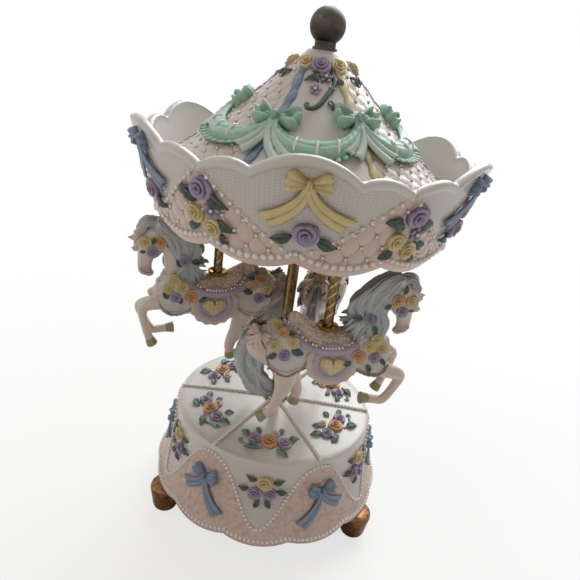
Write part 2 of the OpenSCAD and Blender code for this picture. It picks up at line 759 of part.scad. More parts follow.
module clip(h) {
    color("silver") at_pole(h) translate([0, 0, pole_top - 2 + run + lift(h)]) difference() {
        cylinder(r = pole_r + 1.4, h = clip_t);
        translate([0, 0, -eps]) cylinder(r = pole_r - 0.5, h = clip_t + 2 * eps);
        translate([0, -0.9, -eps]) cube([pole_r + 2, 1.8, clip_t + 2 * eps]);
    }
}

module cup(h) {
    color("gold") facing(h) rotate_extrude()
        polygon([[pole_r, 0], [cup_r * 0.8, 0], [cup_r, 1.6], [cup_r - 0.6, 2], [pole_r, 0.8]]);
}

// a limb or a stretch of the body: balls [x, y, z, r] joined by a hull
module limb(balls) {
    for (i = [0 : len(balls) - 2]) blend([balls[i], balls[i + 1]]);
}

module blend(balls) {
    hull() for (b = balls) translate([b[0], b[1], b[2]]) sphere(r = b[3], $fn = 14);
}

// leaping horse, nose to +X, with the saddle's seat at the origin
module horse(h) {
    color("seashell") facing(h) difference() {
        scale(horse_k) {
            limb([[20, 0, -13, 9], [1, 0, -11.5, 9.2], [-19, 0, -10, 9.6]]);
            blend([[22, 0, -9, 7.4], [16, 0, -2, 5], [27, 0, 6, 5.6], [20, 0, 9, 4.4]]);
            blend([[27, 0, 6, 5.6], [20, 0, 9, 4.4], [23, 0, 20, 4.4], [31, 0, 19, 4.8]]);
            blend([[32, 0, 18.5, 4.6], [34, 0, 6.5, 3]]);
            blend([[31, 0, 20, 4], [25, 0, 22, 3.6], [32.4, 0, 25, 2.4]]);
            limb([[-25, 0, -4, 5], [-33, 0, -11, 5], [-36, 0, -22, 5], [-29, 0, -33, 4.6], [-17, 0, -37, 3.4]]);
            limb([[20, -5, -16, 5], [40, -6, -20.5, 2.6], [27, -6, -34.5, 1.9], [25.5, -6, -36.5, 2.2]]);
            limb([[20, 5, -14, 5], [35.5, 6, -13.5, 2.6], [29, 6, -28, 1.9], [28, 6, -30, 2.2]]);
            limb([[-20, -5, -14, 6], [-13, -6, -26, 3.2], [-22, -6, -40, 2], [-25, -6, -46, 2.2]]);
            limb([[-20, 5, -14, 6], [-9, 6, -27, 3.2], [-14, 6, -36, 2], [-10, 6, -38.5, 2.2]]);
            for (s = [-1, 1]) hull() {
                translate([3, s * 8.6, -15]) rotate([90, 0, 0]) cylinder(r = 8, h = 4, center = true, $fn = 24);
                translate([3, s * 6, -6]) sphere(r = 4, $fn = 14);
            }
        }
        translate([0, 0, -sink - 0.2]) cylinder(r = pole_r + 0.1, h = sink * 2, $fn = 64);
        cylinder(r = cup_r + gap, h = 12, $fn = 48);
    }
}

base_shell();
base_cover();
cover_screws();
scroll_feet();
foot_screws();
post_collar();
centre_tube();
tube_nut();
cam_disc();
bedplate();
bedplate_screws();
comb();
comb_screws();
base_bows();
base_bouquets();
top_bouquets();
winding_key();
winding_arbor();
pinned_cylinder();
cylinder_arbor();
idler_wheel();
governor_fan();
drive_shaft();
spring_barrel();
mainspring();
canopy_hub();
crown();
cone_ring();
canopy_cone();
canopy_floor();
floor_screws();
centre_bush();
pole_bushes();
guide_posts();
finial();
cone_swags();
cone_bows();
cone_roses();
crown_bows();
crown_bouquets();
crown_roses();
lifter(FRONT);  // front_lifter
pole(FRONT);  // front_pole
clip(FRONT);  // front_clip
cup(FRONT);  // front_cup
horse(FRONT);  // front_horse
lifter(LEFT);  // left_lifter
pole(LEFT);  // left_pole
clip(LEFT);  // left_clip
cup(LEFT);  // left_cup
horse(LEFT);  // left_horse
lifter(REAR);  // rear_lifter
pole(REAR);  // rear_pole
clip(REAR);  // rear_clip
cup(REAR);  // rear_cup
horse(REAR);  // rear_horse
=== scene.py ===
"""Carousel music box: the finished looks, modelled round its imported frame."""
import math

import bpy
import numpy as np
from bpy.props import FloatProperty, FloatVectorProperty, IntProperty, PointerProperty
from mathutils import Matrix, Vector
from mathutils.bvhtree import BVHTree


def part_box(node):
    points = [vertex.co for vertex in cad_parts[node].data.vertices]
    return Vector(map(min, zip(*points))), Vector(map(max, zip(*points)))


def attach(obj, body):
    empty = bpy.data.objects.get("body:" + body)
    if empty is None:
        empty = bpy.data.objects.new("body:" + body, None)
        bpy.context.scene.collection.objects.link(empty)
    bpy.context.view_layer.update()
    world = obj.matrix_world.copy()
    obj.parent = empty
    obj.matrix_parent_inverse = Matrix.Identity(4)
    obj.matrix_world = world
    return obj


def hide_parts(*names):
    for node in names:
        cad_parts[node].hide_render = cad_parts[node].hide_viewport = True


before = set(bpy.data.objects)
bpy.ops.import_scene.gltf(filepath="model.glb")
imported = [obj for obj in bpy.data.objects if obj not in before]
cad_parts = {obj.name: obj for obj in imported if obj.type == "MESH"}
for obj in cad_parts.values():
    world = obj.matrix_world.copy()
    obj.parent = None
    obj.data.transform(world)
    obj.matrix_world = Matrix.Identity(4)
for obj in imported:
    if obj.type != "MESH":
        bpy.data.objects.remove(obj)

bl_info = {
    "name": "Carousel Music Box",
    "version": (1, 0, 0),
    "blender": (4, 5, 0),
    "location": "3D View > Sidebar > Carousel",
    "description": "Ornaments, glazes and horses of a wind-up carousel music box",
    "category": "Add Mesh",
}

MM = 0.001
WELD = 0.002 * MM        # points closer than this become one
SHADE_BROWN = (0.25, 0.12, 0.10)           # painted shade: brown that darkens grooves and creases
CAMERA_TIP = 0.41        # how far the camera looks down, in radians
FRONT = -90.0            # direction of the front panel's middle, in degrees
PANEL = 60.0             # angle of one of the six panels
MIDDLES = [FRONT + PANEL * i for i in range(6)]
BORDERS = [FRONT + PANEL * (i + 0.5) for i in range(6)]
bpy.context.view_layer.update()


# ---------- the forms that the frame gives, in millimetres ----------

def node_box(node):
    low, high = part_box(node)
    return [c / MM for c in low], [c / MM for c in high]


SHELL_LOW, SHELL_HIGH = node_box("base_shell")
CROWN_LOW = node_box("crown")[0]
CONE_LOW, CONE_HIGH = node_box("canopy_cone")
WALL = 3.0                                   # wall of both castings
SKIRT_Z, DOME_Z = SHELL_LOW[2], SHELL_HIGH[2]
BASE_TOP_Z, BASE_R, SKIRT_R = 57.0, 52.0, 61.5
DOME_RISE = DOME_Z - BASE_TOP_Z
CROWN_Z, CROWN_TOP_Z = CROWN_LOW[2], 201.5
CROWN_FOOT_R, CROWN_RIM_R = 64.5, 77.6
CONE_Z, APEX_Z = CONE_LOW[2], CONE_HIGH[2]
CONE_FOOT_R, APEX_R = CONE_HIGH[0], 6.8
CROWN_SCALLOP, SKIRT_SCALLOP, SCALLOPS = 4.0, 2.0, 12
RIM_HALF, CENTRE_LOBE, SIDE_LOBE = 38.0, 19.0, 26.0      # half a panel's rim, its notch, its side lobe's top
NOTCH_DIP, SIDE_DIP, CORNER_DIP = 7.2, 5.3, 9.5          # how far the rim falls there and at the corner
SWAG_LOW, SWAG_RISE = 7.0, 25.5                          # lower border of the crown's white fields
ARCH_LOW, ARCH_RISE = 22.3, 31.7                         # feet and height of the base's pink arches


def base_radius(z):
    fall = np.clip((z - SKIRT_Z) / (BASE_TOP_Z - SKIRT_Z), 0, 1)
    return BASE_R + (SKIRT_R - BASE_R) * (1 - fall) ** 2.2


def dome_height(r):
    return BASE_TOP_Z + DOME_RISE * (1 - (r / BASE_R) ** 2)


def crown_radius(z):
    return CROWN_FOOT_R + (CROWN_RIM_R - CROWN_FOOT_R) * (z - CROWN_Z) / (CROWN_TOP_Z - CROWN_Z)


def cone_height(r):
    rest = np.clip(1 - (r - APEX_R) / (CONE_FOOT_R - APEX_R), 0, 1)
    return CONE_Z + (APEX_Z - CONE_Z) * rest ** 1.2


def offset_from(theta, first):
    """Angle to the nearest of six directions that start at first, from -30 to 30 degrees."""
    return (theta - first + PANEL / 2) % PANEL - PANEL / 2


def rim_height(theta):
    """Height of the crown's scalloped rim: a wide centre lobe between two side lobes."""
    x = np.abs(RIM_HALF * np.sin(np.radians(offset_from(theta, FRONT))) / 0.5)
    inner = (NOTCH_DIP - SIDE_DIP) * ((x - SIDE_LOBE) / (SIDE_LOBE - CENTRE_LOBE)) ** 2
    outer = (CORNER_DIP - SIDE_DIP) * ((x - SIDE_LOBE) / (RIM_HALF - SIDE_LOBE)) ** 2
    side = SIDE_DIP + np.where(x < SIDE_LOBE, inner, outer)
    return CROWN_TOP_Z - np.where(x < CENTRE_LOBE, NOTCH_DIP * (x / CENTRE_LOBE) ** 2, side)


def lobes(theta, first, depth):
    """Rise of a scalloped lower edge that has one of its lobes centred on first."""
    half = 180.0 / SCALLOPS
    off = (theta - first + half) % (2 * half) - half
    return depth * (off / half) ** 2


def crown_edge(theta):
    return CROWN_Z + lobes(theta, FRONT + 15, CROWN_SCALLOP)


def skirt_edge(theta):
    return SKIRT_Z + lobes(theta, FRONT, SKIRT_SCALLOP)


def swag_line(theta):
    """Lower border of a crown panel's white field."""
    return CROWN_Z + SWAG_LOW + SWAG_RISE * (np.abs(offset_from(theta, FRONT)) / 29) ** 1.28


def arch_line(theta):
    """Upper border of the base's pink arches, which stand under the borders of the panels."""
    s = np.abs(offset_from(theta, FRONT + PANEL / 2)) / (PANEL / 2)
    return ARCH_LOW + ARCH_RISE * (0.5 + 0.5 * np.cos(np.pi * s ** 1.25))


def xyz(*parts):
    """Coordinates side by side, one row to a point."""
    return np.stack(np.broadcast_arrays(*parts), -1)


def revolved(radius, height):
    """A surface of revolution: at(theta in degrees, t) gives points; t grows upwards or inwards."""
    def at(theta, t):
        a = np.radians(theta)
        r = radius(t)
        return xyz(r * np.cos(a), r * np.sin(a), height(t))
    return at


BASE_WALL = revolved(base_radius, lambda z: z)
BASE_DOME = revolved(lambda t: -t, lambda t: dome_height(-t))
CROWN = revolved(crown_radius, lambda z: z)
CONE = revolved(lambda t: -t, lambda t: cone_height(-t))


def unit(v):
    return v / np.linalg.norm(v, axis=-1, keepdims=True)


def axes_on(surface, theta, t):
    """Right, up and outward directions at places on a surface."""
    d = 0.05
    right = unit(surface(theta + d, t) - surface(theta - d, t))
    up = unit(surface(theta, t + d) - surface(theta, t - d))
    return right, up, unit(np.cross(right, up))


def raised(surface, theta, t, out):
    """Points that stand out from a surface by out."""
    return surface(theta, t) + axes_on(surface, theta, t)[2] * np.asarray(out)[..., None]


def drape(surface, theta, t, flat):
    """Bends a flat ornament (x right, y up, z out) round a surface, centred on theta and t."""
    d = 0.05
    rate = np.linalg.norm(surface(theta, t + d) - surface(theta, t - d)) / (2 * d)
    ts = t + flat[:, 1] / rate
    here = surface(np.full(len(flat), theta), ts)
    r = np.maximum(np.hypot(here[:, 0], here[:, 1]), 4.0)
    return raised(surface, theta + np.degrees(flat[:, 0] / r), ts, flat[:, 2])


def spot(surface, theta, t, size, spin=0.0, lift=0.0):
    """Placing matrix for a small ornament that lies on a surface, in millimetres."""
    right, up, out = axes_on(surface, theta, t)
    place = surface(theta, t) + out * lift
    turn = Matrix((right, up, out)).transposed() @ Matrix.Rotation(math.radians(spin), 3, "Z")
    return Matrix.Translation(place) @ turn.to_4x4() @ Matrix.Scale(size, 4)


def ramp(x, low, high):
    """Smooth step from 0 at low to 1 at high."""
    s = np.clip((x - low) / (high - low), 0, 1)
    return s * s * (3 - 2 * s)


# ---------- modelling ----------

def select_only(*objs):
    bpy.ops.object.select_all(action="DESELECT")
    for obj in objs:
        obj.select_set(True)
    bpy.context.view_layer.objects.active = objs[0]


def points(obj):
    co = np.empty(len(obj.data.vertices) * 3)
    obj.data.vertices.foreach_get("co", co)
    return co.reshape(-1, 3) / MM


def move_points(obj, co):
    obj.data.vertices.foreach_set("co", (np.asarray(co) * MM).ravel())
    obj.data.update()


def paint(obj, name, values):
    """Writes a number for each point, which the glazes read."""
    layer = obj.data.attributes.get(name) or obj.data.attributes.new(name, "FLOAT", "POINT")
    layer.data.foreach_set("value", np.broadcast_to(values, len(obj.data.vertices)).astype(np.float32))


def painted(obj, name):
    values = np.empty(len(obj.data.vertices), np.float32)
    obj.data.attributes[name].data.foreach_get("value", values)
    return values


def edit_all(obj, *steps):
    """Runs edit mode steps on all of one object."""
    select_only(obj)
    bpy.ops.object.mode_set(mode="EDIT")
    bpy.ops.mesh.select_all(action="SELECT")
    for step in steps:
        step()
    bpy.ops.object.mode_set(mode="OBJECT")


def weld(obj):
    edit_all(obj, lambda: bpy.ops.mesh.remove_doubles(threshold=WELD))
    return obj


def flip(obj):
    edit_all(obj, bpy.ops.mesh.flip_normals)
    return obj


def face_out(obj, towards=None):
    """Turns the faces outwards; those of an open sheet may be told where most of them look."""
    edit_all(obj, lambda: bpy.ops.mesh.normals_make_consistent(inside=False))
    if towards and sum(face.normal.dot(towards) for face in obj.data.polygons) < 0:
        flip(obj)
    return obj


def smooth(obj, angle=None):
    select_only(obj)
    if angle is None:
        bpy.ops.object.shade_smooth()
    else:
        bpy.ops.object.shade_smooth_by_angle(angle=math.radians(angle))
    return obj


def modify(obj, kind, **settings):
    select_only(obj)
    tool = obj.modifiers.new(kind.lower(), kind)
    for key, value in settings.items():
        setattr(tool, key, value)
    bpy.ops.object.modifier_apply(modifier=tool.name)


def thicken(obj, wall, offset=1.0):
    modify(obj, "SOLIDIFY", thickness=wall * MM, offset=offset)
    return obj


def join(name, parts):
    select_only(*parts)
    if len(parts) > 1:
        bpy.ops.object.join()
    obj = bpy.context.view_layer.objects.active
    obj.name = obj.data.name = name
    return obj


def primitive(name, kind, **settings):
    bpy.ops.object.select_all(action="DESELECT")
    getattr(bpy.ops.mesh, "primitive_" + kind + "_add")(**settings)
    obj = bpy.context.object
    obj.name = obj.data.name = name
    return obj


def sheet(name, nu, nv, place, loop=False):
    """A grid primitive moved to place(u, v), which gives points and, if wanted, a tint for each."""
    obj = primitive(name, "grid", x_subdivisions=nu, y_subdivisions=nv, size=1)
    uv = points(obj)[:, :2] * MM + 0.5
    made = place(uv[:, 0], uv[:, 1])
    co, tint = made if isinstance(made, tuple) else (made, 1.0)
    move_points(obj, co)
    paint(obj, "tint", tint)
    return weld(obj) if loop else obj


def tube(name, path, radii, sides=8, flat=1.0, up=(0, 0, 1), tint=None):
    """A closed tube along path, from a grid primitive; radii taper to its two ends."""
    path, radii = np.asarray(path, float), np.asarray(radii, float)
    along = unit(np.gradient(path, axis=0))
    across = unit(np.cross(along, np.asarray(up, float)) + 1e-9)
    third = np.cross(across, along)
    steps = np.arange(len(path))
    flats = np.broadcast_to(flat, len(path))

    def place(u, v):
        s = u * (len(path) - 1)
        pick = lambda table: xyz(*[np.interp(s, steps, values) for values in table.T])
        r = np.interp(s, steps, radii)[:, None]
        a = (v * 2 * np.pi)[:, None]
        squash = np.interp(s, steps, flats)[:, None]
        co = pick(path) + r * (np.cos(a) * pick(across) + squash * np.sin(a) * pick(third))
        # unless tint is given, one side of the tube is lighter and the other darker: painted light and shade
        return co, (0.5 + 0.5 * np.sin(a[:, 0]) if tint is None else tint(u, v))

    return face_out(sheet(name, len(path) - 1, sides, place, loop=True))


def lathe(name, outline, steps, at=(0, 0, 0)):
    """Spins an outline of (radius, height) points round a vertical line through at."""
    obj = primitive(name, "plane", size=MM, location=(0, 0, 0))
    here = Vector((outline[0][0], 0, outline[0][1]))
    bpy.ops.object.mode_set(mode="EDIT")
    bpy.ops.mesh.select_all(action="SELECT")
    bpy.ops.mesh.merge(type="CENTER")
    bpy.ops.transform.translate(value=here * MM)
    for radius, height in outline[1:]:
        there = Vector((radius, 0, height))
        bpy.ops.mesh.extrude_region_move(TRANSFORM_OT_translate={"value": (there - here) * MM})
        here = there
    bpy.ops.mesh.select_all(action="SELECT")
    bpy.ops.mesh.spin(steps=steps, angle=2 * math.pi, center=(0, 0, 0), axis=(0, 0, 1))
    bpy.ops.object.mode_set(mode="OBJECT")
    face_out(weld(obj))
    move_points(obj, points(obj) + np.asarray(at, float))
    paint(obj, "tint", 1.0)
    return obj


def copies(name, proto, clouds, shades=1.0):
    """One mesh of copies of proto, whose points go to each cloud; shades dim the copies' tints."""
    src = proto.data
    nv, nl, nf = len(src.vertices), len(src.loops), len(src.polygons)
    corner, start, total = np.empty(nl, np.int32), np.empty(nf, np.int32), np.empty(nf, np.int32)
    src.loops.foreach_get("vertex_index", corner)
    src.polygons.foreach_get("loop_start", start)
    src.polygons.foreach_get("loop_total", total)
    k = len(clouds)
    mesh = bpy.data.meshes.new(name)
    mesh.vertices.add(nv * k)
    mesh.loops.add(nl * k)
    mesh.polygons.add(nf * k)
    mesh.vertices.foreach_set("co", (np.concatenate(clouds) * MM).ravel())
    each = np.arange(k)[:, None]
    mesh.loops.foreach_set("vertex_index", (corner + each * nv).ravel().astype(np.int32))
    mesh.polygons.foreach_set("loop_start", (start + each * nl).ravel().astype(np.int32))
    mesh.polygons.foreach_set("loop_total", np.tile(total, k))
    mesh.polygons.foreach_set("use_smooth", np.ones(nf * k, bool))
    mesh.update(calc_edges=True)
    mesh.validate()
    obj = bpy.data.objects.new(name, mesh)
    bpy.context.scene.collection.objects.link(obj)
    paint(obj, "tint", (np.broadcast_to(shades, k)[:, None] * painted(proto, "tint")).ravel())
    return obj


def placed(proto, spots):
    """The points of proto at each placing matrix."""
    co = points(proto)
    tables = [np.array(m) for m in spots]
    return [co @ m[:3, :3].T + m[:3, 3] for m in tables]


def draped(proto, surface, places):
    """The points of proto bent round a surface at each (theta, t)."""
    return [drape(surface, theta, t, points(proto)) for theta, t in places]


def discard(*objs):
    for obj in objs:
        bpy.data.meshes.remove(obj.data)


def finish_piece(obj, material, body, replaces=()):
    obj.data.materials.clear()
    obj.data.materials.append(material)
    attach(obj, body)
    if replaces:
        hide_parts(*replaces)
    return obj


# ---------- glazes and metals ----------

class Graph:
    """Shader nodes of a material or world; an input may be a value or another node's output."""

    def __init__(self, tree):
        self.tree = tree

    def put(self, socket, value):
        if isinstance(value, bpy.types.NodeSocket):
            self.tree.links.new(value, socket)
        else:
            socket.default_value = value

    def node(self, kind, settings=(), **inputs):
        """Adds a node; i0, i1 and so on name its inputs by number."""
        made = self.tree.nodes.new("ShaderNode" + kind)
        for key, value in dict(settings).items():
            setattr(made, key, value)
        for key, value in inputs.items():
            self.put(made.inputs[int(key[1:]) if key[1:].isdigit() else key], value)
        return made

    def maths(self, operation, a, b=0.0):
        return self.node("Math", {"operation": operation}, i0=a, i1=b).outputs[0]

    def add(self, a, b):
        return self.maths("ADD", a, b)

    def less(self, a, b):
        return self.maths("SUBTRACT", a, b)

    def times(self, a, b):
        return self.maths("MULTIPLY", a, b)

    def most(self, a, b):
        return self.maths("MAXIMUM", a, b)

    def waves(self, value, pitch):
        return self.maths("SINE", self.times(value, 2 * math.pi / pitch))

    def stretch(self, value, low, high, to_low=0.0, to_high=1.0):
        made = self.node("MapRange", {"clamp": True}, i0=value, i1=low, i2=high, i3=to_low, i4=to_high)
        return made.outputs[0]

    def mixed(self, share, first, second, blend="MIX"):
        made = self.node("Mix", {"data_type": "RGBA", "blend_type": blend}, Factor=share)
        for socket, value in ((made.inputs[6], first), (made.inputs[7], second)):
            self.put(socket, value if isinstance(value, bpy.types.NodeSocket) else (*value[:3], 1.0))
        return made.outputs[2]

    def blend(self, share, first, second, output):
        """Mixes two shaders into an output node."""
        self.put(output.inputs[0], self.node("MixShader", i0=share, i1=first, i2=second).outputs[0])

    def amount(self, name):
        """A number that the points carry."""
        return self.node("Attribute", {"attribute_name": name}).outputs["Fac"]

    def place(self):
        return self.node("TexCoord").outputs["Object"]

    def grain(self, scale, detail=2.0, rough=0.5):
        """Noise on Object coordinates; scale is in cells to a metre."""
        made = self.node("TexNoise", Vector=self.place(), Scale=scale, Detail=detail, Roughness=rough)
        return made.outputs["Fac"]

    def cells(self, scale, feature):
        """Distance to the middle of the nearest cell."""
        made = self.node("TexVoronoi", {"feature": feature}, Vector=self.place(), Scale=scale)
        return made.outputs["Distance"]

    def uv(self, name):
        return self.node("SeparateXYZ", Vector=self.node("UVMap", {"uv_map": name}).outputs[0]).outputs


class Finish(Graph):
    """A material; done() sets its Principled shader."""

    def __init__(self, name):
        self.mat = bpy.data.materials.new(name)
        self.mat.use_nodes = True
        super().__init__(self.mat.node_tree)
        self.shader = self.tree.nodes["Principled BSDF"]

    def done(self, colour, rough, height, depth, coat=0.0, coat_rough=0.03, metallic=0.0):
        """Sets the shader, with height as its bump of a depth in metres, and gives the material."""
        bump = self.node("Bump", Height=height, Distance=depth, Strength=1.0).outputs[0]
        for key, value in (("Base Color", colour), ("Roughness", rough), ("Normal", bump),
                           ("Coat Weight", coat), ("Coat Roughness", coat_rough), ("Metallic", metallic)):
            self.put(self.shader.inputs[key], value)
        return self.mat


def glaze(name, colour, shade_colour, rough=0.42, coat=0.15, depth=0.00006):
    """Painted cast ornament: its colour on the raised parts, a darker painted shade in the creases."""
    g = Finish(name)
    # tint darkens the creases as painted shade; the noise adds random wear
    pale_share = g.add(g.amount("tint"), g.stretch(g.grain(420.0, 3.0), 0.3, 0.7, -0.12, 0.12))
    body = g.mixed(g.stretch(pale_share, 0.05, 0.8), shade_colour, colour)
    shade = g.stretch(g.grain(130.0), 0.3, 0.7, 0.94, 1.06)
    cloud = g.node("CombineColor", Red=shade, Green=shade, Blue=shade).outputs[0]
    return g.done(g.mixed(1.0, body, cloud, "MULTIPLY"), rough, g.grain(2600.0, 3.0), depth, coat, 0.2)


def metal(name, colour, dark, rough=0.3, scale=900.0):
    """Bare or painted metal, darkened by wear in patches."""
    g = Finish(name)
    pale_share = g.stretch(g.grain(scale, 4.0, 0.6), 0.35, 0.65)
    mottle = g.stretch(g.grain(scale * 1.7, 3.0), 0.2, 0.8, rough * 1.3, rough * 0.8)
    return g.done(g.mixed(pale_share, dark, colour), mottle, g.grain(scale * 3), 0.00002, metallic=1.0)


def twisted(name, colour, dark, bright):
    """Brass drawn with a twist: a painted highlight along the grooves' edges, tarnished elsewhere."""
    g = Finish(name)
    body = g.mixed(g.stretch(g.grain(700.0, 4.0, 0.6), 0.35, 0.65), dark, colour)
    groove = g.stretch(g.amount("tint"), 0.2, 0.9, 0.9, 0.0)
    return g.done(g.mixed(groove, body, bright), 0.36, g.grain(2400.0), 0.00002, metallic=1.0)


def plastic(name, colour):
    g = Finish(name)
    mottled = g.stretch(g.grain(300.0, 3.0), 0.3, 0.7)
    return g.done(g.mixed(mottled, [c * 0.93 for c in colour], colour), 0.5, g.grain(5000.0), 0.00003)


def fibreboard(name, colour):
    """Pressed board: fine pale and dark fibres."""
    g = Finish(name)
    turned = g.node("Mapping", Vector=g.place(), Scale=(900.0, 3600.0, 900.0)).outputs[0]
    fibre = g.node("TexNoise", Vector=turned, Scale=1.0, Detail=5.0).outputs["Fac"]
    body = g.mixed(g.stretch(fibre, 0.35, 0.65), [c * 0.6 for c in colour], colour)
    return g.done(body, 0.85, fibre, 0.00005)


def pinches(g):
    """Creases of the padding: diagonals that fade away from the buttons, and short stars at them."""
    a, b = g.amount("diagonal_a"), g.amount("diagonal_b")

    def line(value, width):
        return g.stretch(g.maths("PINGPONG", value, 0.5), 0.0, width, 1.0, 0.0)

    far = g.add(*[g.maths("POWER", g.maths("PINGPONG", value, 0.5), 2.0) for value in (a, b)])
    near = g.stretch(far, 0.0, 0.16, 1.0, 0.0)
    close = g.stretch(far, 0.0, 0.035, 1.0, 0.0)
    slanting = g.times(g.most(line(a, 0.032), line(b, 0.032)), g.stretch(near, 0.0, 1.0, 0.22, 1.0))
    upright = g.most(line(g.add(a, b), 0.10), line(g.less(a, b), 0.10))
    return g.most(slanting, g.times(upright, close))


def casting(name, white, pink, crease, lace_shade):
    """Glaze of the walls: white field, pink padding pinched at its buttons, dimpled lace; creases, pinch
    lines, dimples and the pebbles' grooves are darkened as painted shade.

    The points carry pink, tint, lace, seam (1 where padded, -1 where embossed) and the
    two diagonal phases of the padding; the UV map is in millimetres round and up the wall."""
    g = Finish(name)
    uv = g.uv("wall_mm")
    rows = g.add(g.times(uv[1], 2 * math.pi / 1.15), g.times(g.waves(uv[0], 3.1), 1.5))
    net = g.add(g.maths("SINE", rows), g.times(g.waves(uv[0], 1.55), 0.7))
    lace, seam = g.amount("lace"), g.amount("seam")
    dimple = g.times(g.stretch(net, -1.2, 1.2), lace)
    pinch = g.times(pinches(g), g.most(seam, 0.0))
    embossed = g.most(g.times(seam, -1.0), 0.0)
    moulded = g.times(g.stretch(g.cells(560.0, "SMOOTH_F1"), 0.15, 0.7), embossed)
    # painted shade: tint and the pinch lines darken the creases; the noise adds random wear
    pale_share = g.add(g.less(g.amount("tint"), g.times(pinch, 0.9)),
                 g.stretch(g.grain(500.0, 4.0), 0.3, 0.7, -0.12, 0.12))
    # painted shade in the grooves between the embossed pebbles
    pale_share = g.less(pale_share, g.times(moulded, 0.42))
    pinks = g.mixed(g.stretch(pale_share, 0.0, 0.8), crease, pink)
    patch = g.times(g.stretch(g.grain(330.0, 3.0, 0.6), 0.38, 0.62), 0.45)
    pinks = g.mixed(patch, pinks, [0.4 * p + 0.6 * w for p, w in zip(pink, white)])
    shaded = g.times(g.less(1.0, dimple), g.times(lace, 0.30))
    # painted shade on the white where tint, pinches and grooves are low, with random wear
    shade_and_wear = g.times(g.less(1.0, g.stretch(pale_share, 0.3, 0.9)), 0.8)
    whites = g.mixed(g.most(shaded, shade_and_wear), white, lace_shade)
    height = g.add(g.times(dimple, 0.5), g.times(g.grain(2200.0, 3.0), 0.2))
    height = g.less(height, g.add(g.times(pinch, 1.6), moulded))
    return g.done(g.mixed(g.amount("pink"), whites, pinks), 0.34, height, 0.00025, 0.35, 0.16)


def porcelain(name, ivory, rose, gloss=0.3):
    """Horse's body: glossy ivory, a blush where the points carry it, brown painted shade where tint falls."""
    g = Finish(name)
    cloudy = g.stretch(g.grain(160.0, 3.0), 0.3, 0.7)
    warm = g.mixed(cloudy, [c * s for c, s in zip(ivory, (0.95, 0.90, 0.86))], ivory)
    warm = g.mixed(g.times(g.amount("blush"), 0.85), warm, rose)
    body = g.mixed(g.stretch(g.amount("tint"), 0.1, 0.9), SHADE_BROWN, warm)
    return g.done(body, gloss, g.grain(900.0, 3.0), 0.00005, 0.5, 0.15)


def brocade(name, light, dark, scale):
    """Moulded cloth: small raised flowers, paler than the darker ground between them."""
    g = Finish(name)
    flowers = g.stretch(g.cells(scale, "F1"), 0.15, 0.75, 1.0, 0.0)
    fine = g.grain(scale * 3, 3.0)
    pale_share = g.times(g.add(flowers, g.stretch(fine, 0.3, 0.7, -0.2, 0.2)), g.amount("tint"))
    body = g.mixed(g.stretch(pale_share, 0.1, 0.7), dark, light)
    return g.done(body, 0.45, g.add(flowers, g.times(fine, 0.3)), 0.00025, 0.2)


def hair_glaze(name, light, dark):
    """Streaked locks: fine combed lines along each lock, with painted shade between them."""
    g = Finish(name)
    across = g.add(g.uv("UVMap")[1], g.stretch(g.grain(300.0), 0.3, 0.7, -0.03, 0.03))
    comb = g.stretch(g.waves(across, 1 / 9.0), -1.0, 1.0)
    # painted light and shade: tint and the comb lines darken the grooves and one side of each lock
    pale_share = g.add(g.times(g.amount("tint"), 0.75), g.times(comb, 0.35))
    return g.done(g.mixed(g.stretch(pale_share, 0.0, 0.85), dark, light), 0.32, comb, 0.00022, 0.6, 0.12)


def pearl_glaze(name, colour, shade_colour):
    """Small glossy beads, with painted shade where they meet the wall."""
    g = Finish(name)
    body = g.mixed(g.stretch(g.amount("tint"), 0.1, 0.55), shade_colour, colour)
    return g.done(body, 0.18, g.grain(1500.0), 0.00002, 0.8, 0.08)


# ---------- walls with relief ----------

def quilting(x, y, pitch_x, pitch_y):
    """Puffs between diagonal creases that cross every pitch: their height, from 0 to 1."""
    a = np.sin(np.pi * (x / pitch_x + y / pitch_y))
    b = np.sin(np.pi * (x / pitch_x - y / pitch_y))
    return np.abs(a * b) ** 0.6


def buttons(x_range, y_range, pitch_x, pitch_y):
    """Where the creases of quilting cross."""
    spots = []
    for i in range(-12, 13):
        for j in range(-12, 13):
            x, y = pitch_x * (i + j) / 2, pitch_y * (i - j) / 2
            if x_range[0] <= x <= x_range[1] and y_range[0] <= y <= y_range[1]:
                spots.append((x, y))
    return spots


LAYERS = ("pink", "tint", "lace", "seam", "diagonal_a", "diagonal_b")
WALL_MEAN_R = 66.0       # radius at which the walls' UV map is true to size


def shell(name, section):
    """A closed casting: section(theta) gives rows of radius, height and the values of LAYERS."""
    columns = bpy.context.scene.carousel_sizes.columns
    table = section(FRONT - PANEL / 2 + 360 * np.arange(columns) / columns)
    rows = len(table[0])
    layers = {}

    def place(u, v):
        col = np.round(u * columns)
        k = np.round(v * rows).astype(int) % rows
        r, z, *values = [part[k, col.astype(int) % columns] for part in table]
        layers.update(zip(LAYERS, values))
        a = np.radians(FRONT - PANEL / 2 + 360 * col / columns)
        return xyz(r * np.cos(a), r * np.sin(a), z)

    obj = sheet(name, columns, rows, place)
    for key, values in layers.items():
        paint(obj, key, values)
    layer = obj.data.uv_layers[0]
    layer.name = "wall_mm"
    corner = np.empty(len(obj.data.loops), np.int32)
    obj.data.loops.foreach_get("vertex_index", corner)
    uv = np.empty(len(corner) * 2, np.float32)
    layer.data.foreach_get("uv", uv)
    uv = xyz(np.radians(uv[0::2] * 360) * WALL_MEAN_R, points(obj)[corner, 2])
    layer.data.foreach_set("uv", uv.astype(np.float32).ravel())
    return smooth(face_out(weld(obj)))


def stations(*parts):
    """Puts the rows of a closed section together; each part gives eight arrays of rows."""
    return [np.concatenate([p[i] for p in parts]) for i in range(8)]


